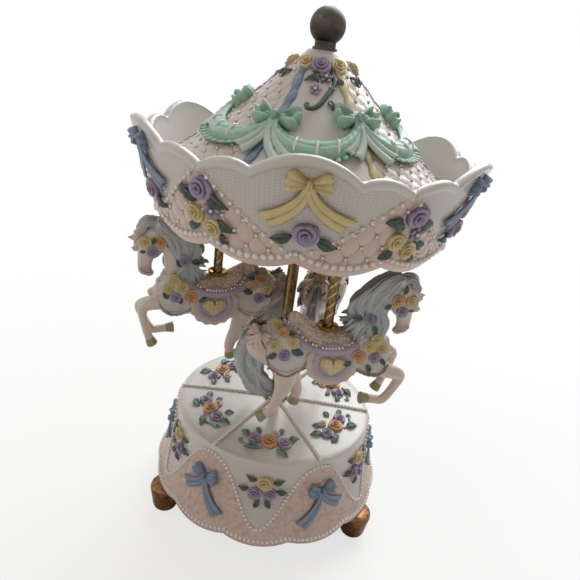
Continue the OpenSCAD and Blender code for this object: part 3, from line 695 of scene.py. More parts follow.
def plain_rows(radius, height, theta, pink=0.0, tint=1.0, lace=0.0):
    one = np.ones((len(radius), len(theta)))
    return radius * one, height * one, pink * one, tint * one, lace * one, 0 * one, 0 * one, 0 * one


def diagonals(x, y, pitch_x, pitch_y):
    """Phases of the two sets of diagonal creases, whole numbers along each crease."""
    return x / pitch_x + y / pitch_y, x / pitch_x - y / pitch_y


def column(values):
    return np.asarray(values, float)[:, None]


CROWN_QUILT = (8.4, 10.0)
CROWN_ROW_Z = CROWN_Z + 7.4      # height of the lowest row of buttons
CROWN_LIP = 3.4                  # height of the rounded lip under the padding


def crown_section(theta):
    low, high = crown_edge(theta), rim_height(theta)
    s = column(np.linspace(0, 1, 54))
    z = low + s * (high - low)
    around = np.radians(offset_from(theta, FRONT + PANEL / 2)) * crown_radius(z)
    line = swag_line(theta)
    pink = ramp(z, line + 0.25, line - 0.25)
    lip = ramp(z, low + 3.6, low + 3.0)
    puff = quilting(around, z - CROWN_ROW_Z, *CROWN_QUILT)
    tuck = pink * (1 - lip)
    rim = ramp(z, high - 2.6, high - 2.0)
    bead = 0.8 * pink * lip * np.sin(np.pi * np.clip((z - low) / CROWN_LIP, 0, 1))
    out = tuck * (0.75 * puff - 0.1) + bead + 0.9 * rim
    # tint: painted shade between the puffs of the padding
    tint = 1 - 0.2 * tuck * (1 - np.clip(puff * 1.25, 0, 1))
    # painted shadow in a line where the padding meets the lip
    tint = tint - 0.35 * pink * np.exp(-((z - low - CROWN_LIP) / 0.5) ** 2)
    lace = (1 - pink) * ramp(z, high - 3.0, high - 3.6) * ramp(z, line + 0.2, line + 0.8)
    # painted shadow in a line under the rim
    tint = tint - 0.5 * (1 - pink) * np.exp(-((z - high + 2.9) / 0.5) ** 2)
    phases = diagonals(around, z - CROWN_ROW_Z, *CROWN_QUILT)
    outer = (crown_radius(z) + out, z, pink, tint, lace, tuck, *phases)
    a = column(np.linspace(0, np.pi, 9)[1:-1])
    mid = crown_radius(high) - WALL / 2 + 0.3
    over = plain_rows(mid + 2.0 * np.cos(a), high + 1.3 * np.sin(a) - 0.1, theta)
    t = column(np.linspace(1, 0, 16))
    zi = low + t * (high - low)
    inner = plain_rows(crown_radius(zi) - WALL, zi, theta)
    a = column(np.linspace(np.pi, 2 * np.pi, 7)[1:-1])
    mid = crown_radius(low) - WALL / 2
    under = plain_rows(mid + 1.5 * np.cos(a), low + 0.9 * np.sin(a) + 0.1, theta, pink=1.0)
    return stations(outer, over, inner, under)


BASE_QUILT = (5.2, 4.6)
BASE_ROUND = 1.6                 # radius of the edge between wall and dome
TUBE_HOLE_R = 2.9                # hole for the centre tube


def base_section(theta):
    low = skirt_edge(theta)
    s = column(np.linspace(0, 1, 50))
    top = BASE_TOP_Z - BASE_ROUND
    z = low + s * (top - low)
    around = np.radians(offset_from(theta, FRONT + PANEL / 2)) * base_radius(z)
    line = arch_line(theta)
    pink = ramp(z, line + 0.3, line - 0.3)
    lip = ramp(z, low + 3.2, low + 2.6)
    wander = 0.9 * np.sin(z * 1.1), 0.9 * np.sin(around * 0.8)
    puff = quilting(around + wander[0], z - SKIRT_Z + wander[1], *BASE_QUILT)
    tuck = pink * (1 - lip)
    lace = (1 - pink) * ramp(z, 46.5, 43.5) * ramp(z, line + 0.2, line + 0.9)
    out = tuck * (0.5 * puff + 0.1) + 0.5 * pink * lip
    # tint: painted shade between the puffs of the padding
    tint = 1 - 0.22 * tuck * (1 - np.clip(puff * 1.3, 0, 1))
    outer = (base_radius(z) + out, z, pink, tint, lace, -tuck, 0 * z, 0 * z)
    a = column(np.linspace(0, np.pi / 2, 6)[1:])
    edge = plain_rows(BASE_R - BASE_ROUND + BASE_ROUND * np.cos(a), top + BASE_ROUND * np.sin(a), theta)
    r = column(np.linspace(BASE_R - BASE_ROUND - 0.2, TUBE_HOLE_R, 22))
    dome = plain_rows(r, dome_height(r), theta)
    r = column(np.linspace(TUBE_HOLE_R, BASE_R - WALL - 1, 8))
    ceiling = plain_rows(r, 0 * r + BASE_TOP_Z - WALL, theta)
    t = column(np.linspace(1, 0, 12)[1:])
    zi = low + t * (BASE_TOP_Z - WALL - 0.6 - low)
    inner = plain_rows(base_radius(zi) - WALL, zi, theta)
    a = column(np.linspace(np.pi, 2 * np.pi, 7)[1:-1])
    mid = base_radius(low) - WALL / 2
    under = plain_rows(mid + 1.5 * np.cos(a), low + 0.6 * np.sin(a), theta, pink=1.0)
    return stations(outer, edge, dome, ceiling, inner, under)


CONE_QUILT = (8.6, 7.4)
CONE_SLANT = 1.28        # length down the slope for each millimetre of radius


def cone_section(theta):
    r = column(CONE_FOOT_R - (CONE_FOOT_R - APEX_R) * np.linspace(0, 1, 58))
    off = offset_from(theta, FRONT)
    index = np.round((theta - FRONT) / PANEL).astype(int) % 2
    across = np.radians(off) * r
    slope = CONE_SLANT * (r - APEX_R)
    inside = ramp(np.abs(off) * np.radians(1) * r, 0.5 * np.radians(PANEL) * r - 1.0,
                  0.5 * np.radians(PANEL) * r - 2.0)
    pink = (index == 1) * inside * ramp(r, APEX_R + 2, APEX_R + 4)
    puff = quilting(across, slope, *CONE_QUILT)
    out = pink * (0.6 * puff - 0.05)
    # tint: painted shade between the puffs of the padding
    tint = 1 - 0.2 * pink * (1 - np.clip(puff * 1.25, 0, 1))
    outer = (r + 0 * theta, cone_height(r) + out, 0.55 * pink, tint, 0 * pink, pink,
             *diagonals(across, slope + 0 * theta, *CONE_QUILT))
    rr = column(np.linspace(APEX_R - 0.8, 1.6, 6))
    disc = plain_rows(rr, 0 * rr + APEX_Z + 0.1, theta)
    rr = column(np.linspace(1.6, CONE_FOOT_R - WALL, 16))
    roof = np.minimum(cone_height(rr) - WALL * 1.3, APEX_Z - WALL * 1.8)
    inner = plain_rows(rr, np.maximum(CONE_Z, roof), theta)
    return stations(outer, disc, inner)


# ---------- patterns for the ornaments: each is modelled once, about 1 mm in radius ----------

def make_rose(fine=True):
    """An open rose: petals wound in one spiral, each rim standing above the crease outside it."""
    turns, steps, rows = (3.1, 24, 6) if fine else (2.6, 15, 5)
    petal = lambda s: np.abs(np.sin(np.pi * 2.7 * s)) ** 0.55

    def line(s):
        s = np.maximum(s, 0)
        r = 0.10 * ramp(s, 0.0, 0.4) + 0.90 * (s / turns) ** 1.2
        return r * (1 - 0.17 * (1 - petal(s)) * ramp(s, 0.3, 1.2))

    def wind(u, v):
        s = -1 + turns * u
        w = np.clip(v * 1.25, 0, 1)
        inner, outer = line(s), line(s + 1)
        outer = inner + (outer - inner) * np.clip((1 - u) / 0.07, 0.02, 1) ** 0.5
        r = inner + (outer - inner) * w
        dome = 0.66 * np.sqrt(np.clip(1 - 0.92 * r ** 2, 0.02, 1)) - 0.10
        drop = np.clip((v - 0.8) / 0.2, 0, 1)
        rim = 0.21 * w ** 1.5 * (0.4 + 0.6 * petal(s + 1))
        last = s > turns - 2.02
        h = dome + rim * (1 - drop) - np.where(last, dome + 0.1, 0.03) * drop
        a = 2 * np.pi * s
        # tint: painted shade at the feet of the petals, in the spiral's middle and where the petals drop
        tint = np.clip(0.15 + 1.6 * w, 0, 1) * (0.6 + 0.4 * petal(s + 1)) * (0.7 + 0.3 * ramp(r, 0.1, 0.5))
        return xyz(r * np.cos(a), r * np.sin(a), h), tint * (1 - drop * 0.9)
    spiral = flip(sheet("spiral", int(turns * steps), rows, wind))
    foot = lathe("foot", [(0, 0.3), (0.5, 0.2), (0.72, 0.0), (0.5, -0.15), (0, -0.2)], 10)
    # painted shade: the foot under the rose is dark all over
    paint(foot, "tint", 0.0)
    return smooth(join("rose", [spiral, foot]), 50)


def make_leaf():
    """A pointed leaf along +X from its stalk, folded at the midrib, arched between stalk and tip."""
    def place(u, v):
        side = 2 * v - 1
        half = 0.25 * np.sin(np.pi * u ** 0.8) * (1 + 0.07 * np.sin(26 * u)) + 0.01
        rise = 0.10 + 0.16 * np.abs(side) * np.sin(np.pi * u) + 0.12 * np.sin(np.pi * u) - 0.06 * u
        vein = 0.5 + 0.5 * np.cos(30 * (u - 0.35 * np.abs(side)))
        # tint: painted shade down the folded midrib; vein lines and the rim are lighter
        return xyz(u, side * half, rise), 0.25 + 0.6 * vein * np.abs(side) + 0.25 * (np.abs(side) > 0.9)
    return smooth(thicken(sheet("leaf", 8, 4, place), 0.09))


def make_blossom():
    """Five round petals about a bead."""
    parts = []
    for i in range(5):
        def place(u, v, a=2 * math.pi * i / 5):
            r = 0.18 + 0.8 * v
            w = 0.36 * np.sin(np.pi * (0.12 + 0.76 * v)) * (2 * u - 1)
            h = 0.12 + 0.16 * v - 0.1 * (2 * u - 1) ** 2
            # tint: painted shade towards the middle, where the petals meet
            return xyz(r * np.cos(a) - w * np.sin(a), r * np.sin(a) + w * np.cos(a), h), 0.2 + 0.8 * v
        parts.append(thicken(sheet("lobe", 4, 4, place), 0.12, 0.0))
    return smooth(join("blossom", parts))


def make_pearl():
    pearl = primitive("pearl", "uv_sphere", segments=8, ring_count=6, radius=MM)
    # tint: painted shade, darker towards the side that meets the wall
    paint(pearl, "tint", 0.5 + 0.5 * points(pearl)[:, 2])
    return pearl


def string(surface, path, pitch, size, closed=False):
    """Placing matrices for pearls at an even pitch along path: rows of theta and t."""
    path = np.asarray(path, float)
    co = surface(path[:, 0], path[:, 1])
    run = np.concatenate([[0], np.cumsum(np.linalg.norm(np.diff(co, axis=0), axis=1))])
    count = max(2, int(round(run[-1] / pitch)))
    at = np.linspace(0, run[-1], count + 1)[:-1 if closed else None]
    return [spot(surface, *[float(np.interp(s, run, values)) for values in path.T], size, lift=0.5 * size)
            for s in at]


def bow_loop(side, reach, spread, depth, tilt, hollow):
    """One padded loop: a fan of soft folds that widens from the knot, its far end turned down."""
    rho = [0.05, 0.22, 0.45, 0.68, 0.86, 0.96, 1.0, 0.97, 0.9]
    rise = [0.42, 0.66, 0.88, 1.0, 0.96, 0.78, 0.5, 0.2, -0.06]

    def fan(u, v):
        across = 2 * v - 1
        fold = np.cos(3.1 * np.pi * across)
        k = u * (len(rho) - 1)
        r = np.interp(k, np.arange(len(rho)), rho) * (1 + 0.06 * fold - 0.10 * across ** 4)
        z = np.interp(k, np.arange(len(rise)), rise)
        dent = hollow * np.exp(-((r - 0.62) / 0.2) ** 2 - ((across - 0.1) / 0.42) ** 2)
        z = depth * z * (1 + 0.13 * fold * ramp(r, 0.1, 0.5)) * (1 - np.abs(across) ** 5) * (1 - dent)
        a = np.radians(tilt + spread * across * (1 + 0.15 * (1 - r)))
        y = reach * r * np.sin(a) + 0.10 * reach * across * (1 - r)
        # tint: painted shade near the knot, in the folds' hollows and in the dent
        tint = (0.4 + 0.45 * ramp(r, 0.1, 0.8) + 0.22 * fold) * (1 - dent)
        return xyz(side * reach * r * np.cos(a), y, z), tint
    made = sheet("loop", 16, 22, fan)
    return made if side > 0 else flip(made)


def bow_tail(side, right, down, width, depth):
    """One tail: it falls from the knot, swings outwards and ends in a folded notch."""
    mid = np.array([0.10 * right, -0.66 * down])

    def strip(u, v):
        across = 2 * v - 1
        p0, p2 = np.array([0.2, -0.5]), np.array([right, -down])
        t = u[:, None]
        co = (1 - t) ** 2 * p0 + 2 * t * (1 - t) * mid + t ** 2 * p2
        along = unit(2 * (1 - t) * (mid - p0) + 2 * t * (p2 - mid))
        half = width * (0.20 + 0.32 * u ** 0.9) * across
        notch = -0.16 * width * (1 - np.abs(across)) * ramp(u, 0.75, 1.0)
        skew = 0.22 * width * across * ramp(u, 0.6, 1.0)
        co = co + xyz(-along[:, 1], along[:, 0]) * half[:, None] + along * (notch + skew)[:, None]
        ridge = np.abs(np.sin(np.pi * across)) ** 0.8
        z = 0.40 * depth * (1 - 0.5 * u) + (0.10 + 0.16 * u) * depth * ridge + 0.1
        # tint: painted shade in the tail's middle fold and along its edges
        return xyz(side * co[:, 0], co[:, 1], z), 0.4 + 0.6 * ridge
    made = sheet("tail", 14, 12, strip)
    return made if side > 0 else flip(made)


def make_bow(reach, spread, tails, depth, wall=0.5, tilt=0.0, hollow=0.3, parts=("loops", "tails")):
    """A tied bow lying flat: two padded loops, two tails and a creased knot; it stands on z = 0.

    tails are (right, down, width) for each side."""
    made = []
    if "tails" in parts:
        for side, (right, down, width) in zip((-1, 1), tails):
            made.append(thicken(bow_tail(side, right, down, width, depth), wall, 0.0))
    if "loops" in parts:
        for side in (-1, 1):
            made.append(thicken(bow_loop(side, reach, spread, depth, tilt, hollow), wall, -1.0))

        def centre(u, v):
            a, b = 2 * np.pi * u, np.pi * (v - 0.5)
            swell = 1 + 0.10 * np.cos(6 * a)
            x = 0.17 * reach * np.cos(b) * np.cos(a) * swell
            y = 0.23 * reach * np.sin(b)
            z = 0.55 * depth + 0.55 * depth * np.cos(b) * np.sin(a) * swell
            # tint: painted shade in the knot's creases
            return xyz(x, y, z), 0.6 + 0.4 * np.cos(6 * a)
        made.append(face_out(sheet("knot", 16, 8, centre, loop=True)))
    return smooth(join("bow", made))


def tendril(surface, theta, t, flat, radii, rings=24):
    """A curling stem laid on a surface, from flat (x, y) points about its place."""
    flat = np.asarray(flat, float)
    line = np.concatenate([flat, np.full((len(flat), 1), 0.25)], 1)
    at = np.linspace(0, len(line) - 1, rings)
    fine = xyz(*[np.interp(at, np.arange(len(line)), values) for values in line.T])
    fine[1:-1] = 0.25 * fine[:-2] + 0.5 * fine[1:-1] + 0.25 * fine[2:]
    path = drape(surface, theta, t, fine)
    r = np.interp(np.linspace(0, 1, rings), np.linspace(0, 1, len(radii)), radii)
    # tint: painted light and shade, one side of the stem lighter than the other
    return tube("stem", path, r, 6, tint=lambda u, v: 0.5 + 0.5 * np.sin(2 * np.pi * v))


# ---------- settings ----------

def length(name, text, default):
    return FloatProperty(name=name, description=text, default=default, min=0, unit="LENGTH")


def colour(name, text, default):
    return FloatVectorProperty(name=name, description=text, default=default, min=0, max=1, subtype="COLOR")


class CarouselColours(bpy.types.PropertyGroup):
    white: colour("White glaze", "Walls and dome", (0.63, 0.60, 0.565))
    # painted shade on the white glaze: dimples of the lace, creases and grooves
    lace_shade: colour("Lace shade", "Wash in the dimples of the lace", (0.40, 0.34, 0.30))
    pink: colour("Pink", "Padded fields", (0.63, 0.465, 0.40))
    # painted shade in the creases and pinch lines of the pink padding
    crease: colour("Crease", "Wash in the creases of the padding", (0.40, 0.17, 0.13))
    pearl: colour("Pearl", "Strings of pearls", (0.80, 0.75, 0.71))
    mint: colour("Mint", "Swags and bows of the cone", (0.38, 0.59, 0.475))
    mint_pale: colour("Pale mint", "Tails of the cone's bows", (0.50, 0.61, 0.53))
    yellow: colour("Yellow", "Yellow roses and bows", (0.62, 0.52, 0.26))
    lilac: colour("Lilac", "Lilac roses", (0.35, 0.28, 0.41))
    blue: colour("Blue", "Blue bows", (0.20, 0.265, 0.37))
    peach: colour("Peach", "Orange and peach roses", (0.62, 0.34, 0.15))
    leaf: colour("Leaf", "Dark leaves", (0.055, 0.10, 0.075))
    mane: colour("Mane", "Manes and tails", (0.46, 0.49, 0.49))
    ivory: colour("Ivory", "Horses", (0.67, 0.585, 0.515))
    hoof: colour("Hoof", "Hooves", (0.26, 0.24, 0.10))


class CarouselSizes(bpy.types.PropertyGroup):
    pearl: length("Large pearl", "Radius of the pearls under the crown", 1.3 * MM)
    small_pearl: length("Small pearl", "Radius of the pearls on the swag lines", 0.9 * MM)
    seed_pearl: length("Seed pearl", "Radius of the pearls on the base", 1.02 * MM)
    crown_rose: length("Crown rose", "Radius of the rose under each crown bow", 6.0 * MM)
    crown_bow: length("Crown bow", "Reach of one loop of a crown bow", 7.6 * MM)
    cone_bow: length("Cone bow", "Reach of one loop of a cone bow", 9.4 * MM)
    base_bow: length("Base bow", "Reach of one loop of a base bow", 7.0 * MM)
    lens: length("Lens", "Focal length of the camera", 32.94 * MM)
    columns: IntProperty(name="Columns", description="Faces round each casting", default=480, min=120)


def setting(name):
    """A length of the panel, in millimetres."""
    return getattr(bpy.context.scene.carousel_sizes, name) / MM


GLAZES = {}


def paint_box(name):
    """The finished material of that name, made once."""
    if name in GLAZES:
        return GLAZES[name]
    c = bpy.context.scene.carousel_colours
    # glaze, pearl and mane entries: the second colour is painted shade in creases, where beads meet the wall
    # and between locks; the twist's third colour is a painted highlight
    makers = {
        "casting": (casting, "white_and_pink_casting", c.white, c.pink, c.crease, c.lace_shade),
        "pearl": (pearl_glaze, "pearl_glaze", c.pearl, [0.58, 0.50, 0.45]),
        "mint": (glaze, "mint_glaze", c.mint, [0.07, 0.20, 0.13]),
        "mint_pale": (glaze, "pale_mint_glaze", c.mint_pale, [0.20, 0.33, 0.26]),
        "yellow": (glaze, "yellow_glaze", c.yellow, [0.34, 0.20, 0.055]),
        "lilac": (glaze, "lilac_glaze", c.lilac, [0.06, 0.03, 0.08]),
        "lilac_pale": (glaze, "lilac_pale_glaze", [0.43, 0.365, 0.45], [0.20, 0.13, 0.19]),
        "blue": (glaze, "blue_glaze", c.blue, [0.05, 0.08, 0.14]),
        "peach": (glaze, "peach_glaze", c.peach, [0.22, 0.065, 0.02]),
        "leaf": (glaze, "leaf_glaze", c.leaf, [0.012, 0.026, 0.02], 0.34),
        "green": (glaze, "green_glaze", [0.17, 0.26, 0.20], [0.025, 0.06, 0.042], 0.38),
        "blush": (glaze, "blush_glaze", [0.60, 0.48, 0.43], [0.30, 0.17, 0.14]),
        "bisque": (glaze, "peach_bisque", [0.60, 0.47, 0.40], [0.28, 0.15, 0.10]),
        "hoof": (glaze, "hoof_glaze", c.hoof, [0.09, 0.075, 0.02], 0.3, 0.4),
        "eye": (glaze, "eye_glaze", [0.02, 0.012, 0.01], [0.005, 0.004, 0.004], 0.12, 1.0, 0.000005),
        "brass": (metal, "worn_brass", [0.40, 0.27, 0.12], [0.14, 0.08, 0.035], 0.36),
        "bronze": (metal, "bronze_paint", [0.30, 0.15, 0.065], [0.11, 0.05, 0.025], 0.33, 400.0),
        "pewter": (metal, "pewter_paint", [0.085, 0.075, 0.062], [0.05, 0.043, 0.036], 0.45, 300.0),
        "steel": (metal, "zinc_plated_steel", [0.55, 0.55, 0.56], [0.36, 0.36, 0.37]),
        "spring": (metal, "blued_spring_steel", [0.12, 0.16, 0.26], [0.05, 0.06, 0.1]),
        "gilt": (metal, "gilt", [0.62, 0.44, 0.18], [0.30, 0.18, 0.06], 0.28),
        "twist": (twisted, "twisted_brass", [0.36, 0.235, 0.10], [0.11, 0.06, 0.025], [0.66, 0.53, 0.34]),
        "plastic": (plastic, "white_moulding", [0.66, 0.65, 0.62]),
        "board": (fibreboard, "fibreboard", [0.34, 0.22, 0.12]),
        "mane": (hair_glaze, "mane_glaze", c.mane, [0.24, 0.26, 0.265]),
        "porcelain": (porcelain, "horse_porcelain", c.ivory, [0.46, 0.28, 0.26]),
        "cloth": (porcelain, "caparison_glaze", [0.56, 0.55, 0.52], [0.40, 0.36, 0.33], 0.26),
        "brocade": (brocade, "saddle_brocade", [0.66, 0.56, 0.48], [0.46, 0.34, 0.27], 760.0),
    }
    make, *values = makers[name]
    GLAZES[name] = make(*values)
    return GLAZES[name]


def cluster(name, proto, surface, places, body, glaze_name, replaces=(), seed=1, lift=-0.12):
    """Rigid ornaments on a surface, at (theta, t, radius, spin)."""
    rng = np.random.default_rng(seed)
    spots = [spot(surface, theta, t, radius, spin, lift * radius) for theta, t, radius, spin in places]
    obj = copies(name, proto, placed(proto, spots), 0.9 + 0.1 * rng.random(len(places)))
    return finish_piece(obj, paint_box(glaze_name), body, replaces)


def pearls(name, spots, body):
    proto = make_pearl()
    obj = copies(name, proto, placed(proto, spots))
    discard(proto)
    return finish_piece(obj, paint_box("pearl"), body)


class Builder(bpy.types.Operator):
    """Base of the operators that build the pieces"""
    bl_idname = "carousel.builder"
    bl_label = "Builder"
    bl_options = {"REGISTER", "UNDO"}

    def execute(self, context):
        self.build()
        return {"FINISHED"}


# ---------- base ----------

FEET, FOOT_AT = (-150, -30, 90), 59.0        # directions of the feet and their distance from the axis
FOOT_OUTLINE = [(0, 0), (4.4, 0), (5.4, 0.35), (6.1, 1.2), (6.5, 2.6), (6.8, 4.6), (7.15, 7.2), (7.55, 9.8),
                (7.9, 12.0), (7.95, 13.3), (7.6, 14.5), (6.6, 15.2), (0, 15.3)]


def make_tongue(direction):
    """The lug that holds a foot under the shell."""
    tongue = primitive("tongue", "cube", size=1)
    co = points(tongue) * MM * np.array([10.5, 9.6, 2.8]) + np.array([48.0, 0, 16.0])
    move_points(tongue, co @ np.array(Matrix.Rotation(math.radians(direction), 3, "Z")).T)
    modify(tongue, "BEVEL", width=0.5 * MM, segments=2)
    paint(tongue, "tint", 1.0)
    return tongue


class BuildBase(Builder):
    """Glazed base with pink quilted arches, lace, pearls and its scalloped skirt"""
    bl_idname = "carousel.build_base"
    bl_label = "Base"

    def build(self):
        wall = shell("glazed_base", base_section)
        finish_piece(wall, paint_box("casting"), "base", ["base_shell"])
        seed = setting("seed_pearl")
        spots = []
        for theta in BORDERS:
            spots += string(BASE_DOME, [(theta, -r) for r in np.linspace(BASE_R - 1.2, 6.6, 40)], 1.9, seed)
            along = theta + np.linspace(-PANEL / 2, PANEL / 2, 61)[:-1]
            spots += string(BASE_WALL, xyz(along, arch_line(along)), 2.1, seed * 0.82)
        around = np.linspace(0, 360, 721)
        spots += string(BASE_WALL, xyz(around, skirt_edge(around) + 1.6), 2.2, seed, closed=True)
        pearls("base_pearls", spots, "base")
        feet = [lathe("foot", FOOT_OUTLINE, 48, (FOOT_AT * math.cos(a), FOOT_AT * math.sin(a), 0))
                for a in map(math.radians, FEET)]
        feet = smooth(join("bun_feet", feet + [make_tongue(a) for a in FEET]), 35)
        finish_piece(feet, paint_box("bronze"), "base", ["scroll_feet"])


DOME_SCROLL = [(0, 0), (-3, -1.6), (-6, -1.4), (-9, 0.2), (-11.6, -0.2), (-12.2, 1.6), (-10.6, 2.2),
               (-10.2, 1.0)]


class BuildBaseFlowers(Builder):
    """Blue bows, wall bouquets and dome bouquets of the base"""
    bl_idname = "carousel.build_base_flowers"
    bl_label = "Base flowers"

    def build(self):
        rose, small, leaf = make_rose(), make_rose(False), make_leaf()
        short_tail, long_tail = (11.0, 10.0, 5.0), (11.4, 16.6, 5.4)
        sets = []
        for first, tails in ((1, [short_tail, long_tail]), (0, [long_tail, short_tail])):
            bow = make_bow(setting("base_bow"), 40.0, tails, depth=4.2, tilt=8.0)
            places = [(a + 2 - 3 * first, 40.6) for a in BORDERS[first::2]]
            sets.append(copies("bows", bow, draped(bow, BASE_WALL, places)))
            discard(bow)
        finish_piece(join("base_bows_blue", sets), paint_box("blue"), "base", ["base_bows"])
        wall_yellow, wall_lilac, wall_leaves = [], [], []
        for m in MIDDLES:
            wall_yellow.append((m + 1.0, 46.6, 5.0, 20))
            wall_lilac += [(m - 3.6, 40.2, 4.2, 70), (m + 4.4, 40.6, 4.2, 200)]
            wall_leaves += [(m - 3.4, 47.0, 5.4, 160), (m + 5.4, 46.6, 5.4, 15), (m - 6.8, 42.0, 5.2, 185),
                            (m + 7.6, 42.2, 5.2, -10), (m - 1.0, 37.4, 5.6, 250), (m + 2.4, 37.6, 5.6, 300)]
        nodes = ["base_bouquets"]
        cluster("base_roses_yellow", rose, BASE_WALL, wall_yellow, "base", "yellow", nodes)
        cluster("base_roses_lilac", rose, BASE_WALL, wall_lilac, "base", "lilac")
        cluster("base_leaves", leaf, BASE_WALL, wall_leaves, "base", "leaf")
        top_peach, top_lilac, top_blush, top_leaves, stems = [], [], [], [], []
        for k, m in enumerate(MIDDLES):
            side = 1 if k % 2 == 0 else -1
            top_peach.append((m, -37.6, 5.2, 35 * k))
            top_lilac += [(m - 11.0 * side, -37.2, 4.3, 90), (m + 11.5 * side, -38.2, 4.3, 10 + 40 * k)]
            top_blush.append((m + 5.0 * side, -32.2, 3.0, 0))
            top_leaves += [(m - 14.6, -37, 6.6, 150), (m + 15, -36.6, 6.2, 20), (m - 6, -42.4, 7.2, 190),
                           (m + 6, -42.2, 7, 318), (m - 8, -32.8, 5.2, 130), (m + 9, -31.8, 5, 60)]
            flat = [(x * side, y) for x, y in DOME_SCROLL]
            stems.append(tendril(BASE_DOME, m - 4 * side, -42.0, flat, [0.6, 0.65, 0.55, 0.4]))
        cluster("dome_roses_peach", rose, BASE_DOME, top_peach, "base", "peach", ["top_bouquets"])
        cluster("dome_roses_lilac", rose, BASE_DOME, top_lilac, "base", "lilac")
        cluster("dome_buds_blush", small, BASE_DOME, top_blush, "base", "blush")
        cluster("dome_leaves", leaf, BASE_DOME, top_leaves, "base", "green")
        finish_piece(smooth(join("dome_tendrils", stems)), paint_box("green"), "base")
        discard(rose, small, leaf)


# ---------- canopy ----------

class BuildCrown(Builder):
    """Flared crown: scalloped rim, lace fields, quilted corners and strings of pearls"""
    bl_idname = "carousel.build_crown"
    bl_label = "Crown"

    def build(self):
        crown = shell("glazed_crown", crown_section)
        finish_piece(crown, paint_box("casting"), "canopy", ["crown"])
        around = np.linspace(0, 360, 721)
        spots = []
        for place in string(CROWN, xyz(around, crown_edge(around) + 4.0), 3.0, setting("pearl"), closed=True):
            theta = math.degrees(math.atan2(place.translation.y, place.translation.x))
            shrink = 1 - 0.22 * lobes(theta, FRONT + 15, 1.0)
            spots.append(place @ Matrix.Scale(shrink, 4))
        for m in MIDDLES:
            along = m + np.linspace(-29.2, 29.2, 81)
            line = xyz(along, swag_line(along))
            spots += string(CROWN, line, 3.95, setting("small_pearl"))
            spots += string(CROWN, line, 3.95 / 3, 0.42)
        for b in BORDERS:
            for x, y in buttons((-40, 40), (-3, 26), *CROWN_QUILT):
                z = CROWN_ROW_Z + y
                theta = b + math.degrees(x / crown_radius(z))
                if abs(theta - b) < 29 and crown_edge(theta) + 4.6 < z < swag_line(theta) - 1.6:
                    spots.append(spot(CROWN, theta, z, 0.72, lift=0.2))
        pearls("crown_pearls", spots, "canopy")


class BuildCrownFlowers(Builder):
    """Bows, roses and corner bouquets on the crown"""
    bl_idname = "carousel.build_crown_flowers"
    bl_label = "Crown flowers"

    def build(self):
        rose, leaf, blossom = make_rose(), make_leaf(), make_blossom()
        tails = [(13.4, 16.0, 6.6), (15.4, 14.8, 6.6)]
        bow = make_bow(setting("crown_bow"), 35.0, tails, depth=3.8, wall=0.6, tilt=5.0)
        for name, first, glaze_name, nodes in (("crown_bows_yellow", 0, "yellow", ["crown_bows"]),
                                               ("crown_bows_blue", 1, "blue", [])):
            places = [(m + 1.0, 193.6) for m in MIDDLES[first::2]]
            obj = copies(name, bow, draped(bow, CROWN, places))
            finish_piece(obj, paint_box(glaze_name), "canopy", nodes)
        lilac, leaves, yellow, blossoms, hearts = [], [], [], [], []
        for m in MIDDLES:
            lilac.append((m + 2.0, 175.4, setting("crown_rose"), 20))
            leaves += [(m - 1.8, 173.4, 7.8, 198), (m + 5.2, 173.4, 8.6, -24)]
        for k, b in enumerate(BORDERS):
            b = b + (2.4 if k % 2 == 0 else -0.6)
            lilac.append((b + 1.2, 184.6, 6.0, 60))
            yellow += [(b - 2.3, 174.4, 5.0, 0), (b + 3.9, 169.6, 4.7, 130)]
            blossoms.append((b + 4.4, 177.0, 3.6, 15))
            hearts.append((b + 4.4, 177.0))
            leaves += [(b + 3.2, 183.4, 9.4, -34), (b + 6.0, 173.4, 7.4, -32), (b - 1.6, 178.4, 7.6, 140),
                       (b - 2.8, 182.8, 7.6, 190), (b - 1.6, 170.4, 7.2, 215), (b + 6.4, 168.0, 5.4, -60)]
        cluster("crown_roses_lilac", rose, CROWN, lilac, "canopy", "lilac", ["crown_roses"], 5)
        nodes = ["crown_bouquets"]
        cluster("crown_roses_yellow", rose, CROWN, yellow, "canopy", "yellow", nodes, 6)
        cluster("crown_blossoms", blossom, CROWN, blossoms, "canopy", "lilac", (), 7, 0.15)
        cluster("crown_leaves", leaf, CROWN, leaves, "canopy", "leaf", (), 8)
        pearls("crown_blossom_hearts", [spot(CROWN, a, z, 0.8, lift=1.5) for a, z in hearts], "canopy")
        discard(rose, leaf, blossom, bow)


RIBBON_GLAZES = ("blue", "yellow", "lilac")
BOW_SHIFT = (0.0, 0.0, 0.0, 0.0, 0.0, 6.0)      # one bow was stuck on further round and lower
BOW_DROP = (0.0, 0.0, 0.0, 0.0, 0.0, 3.2)


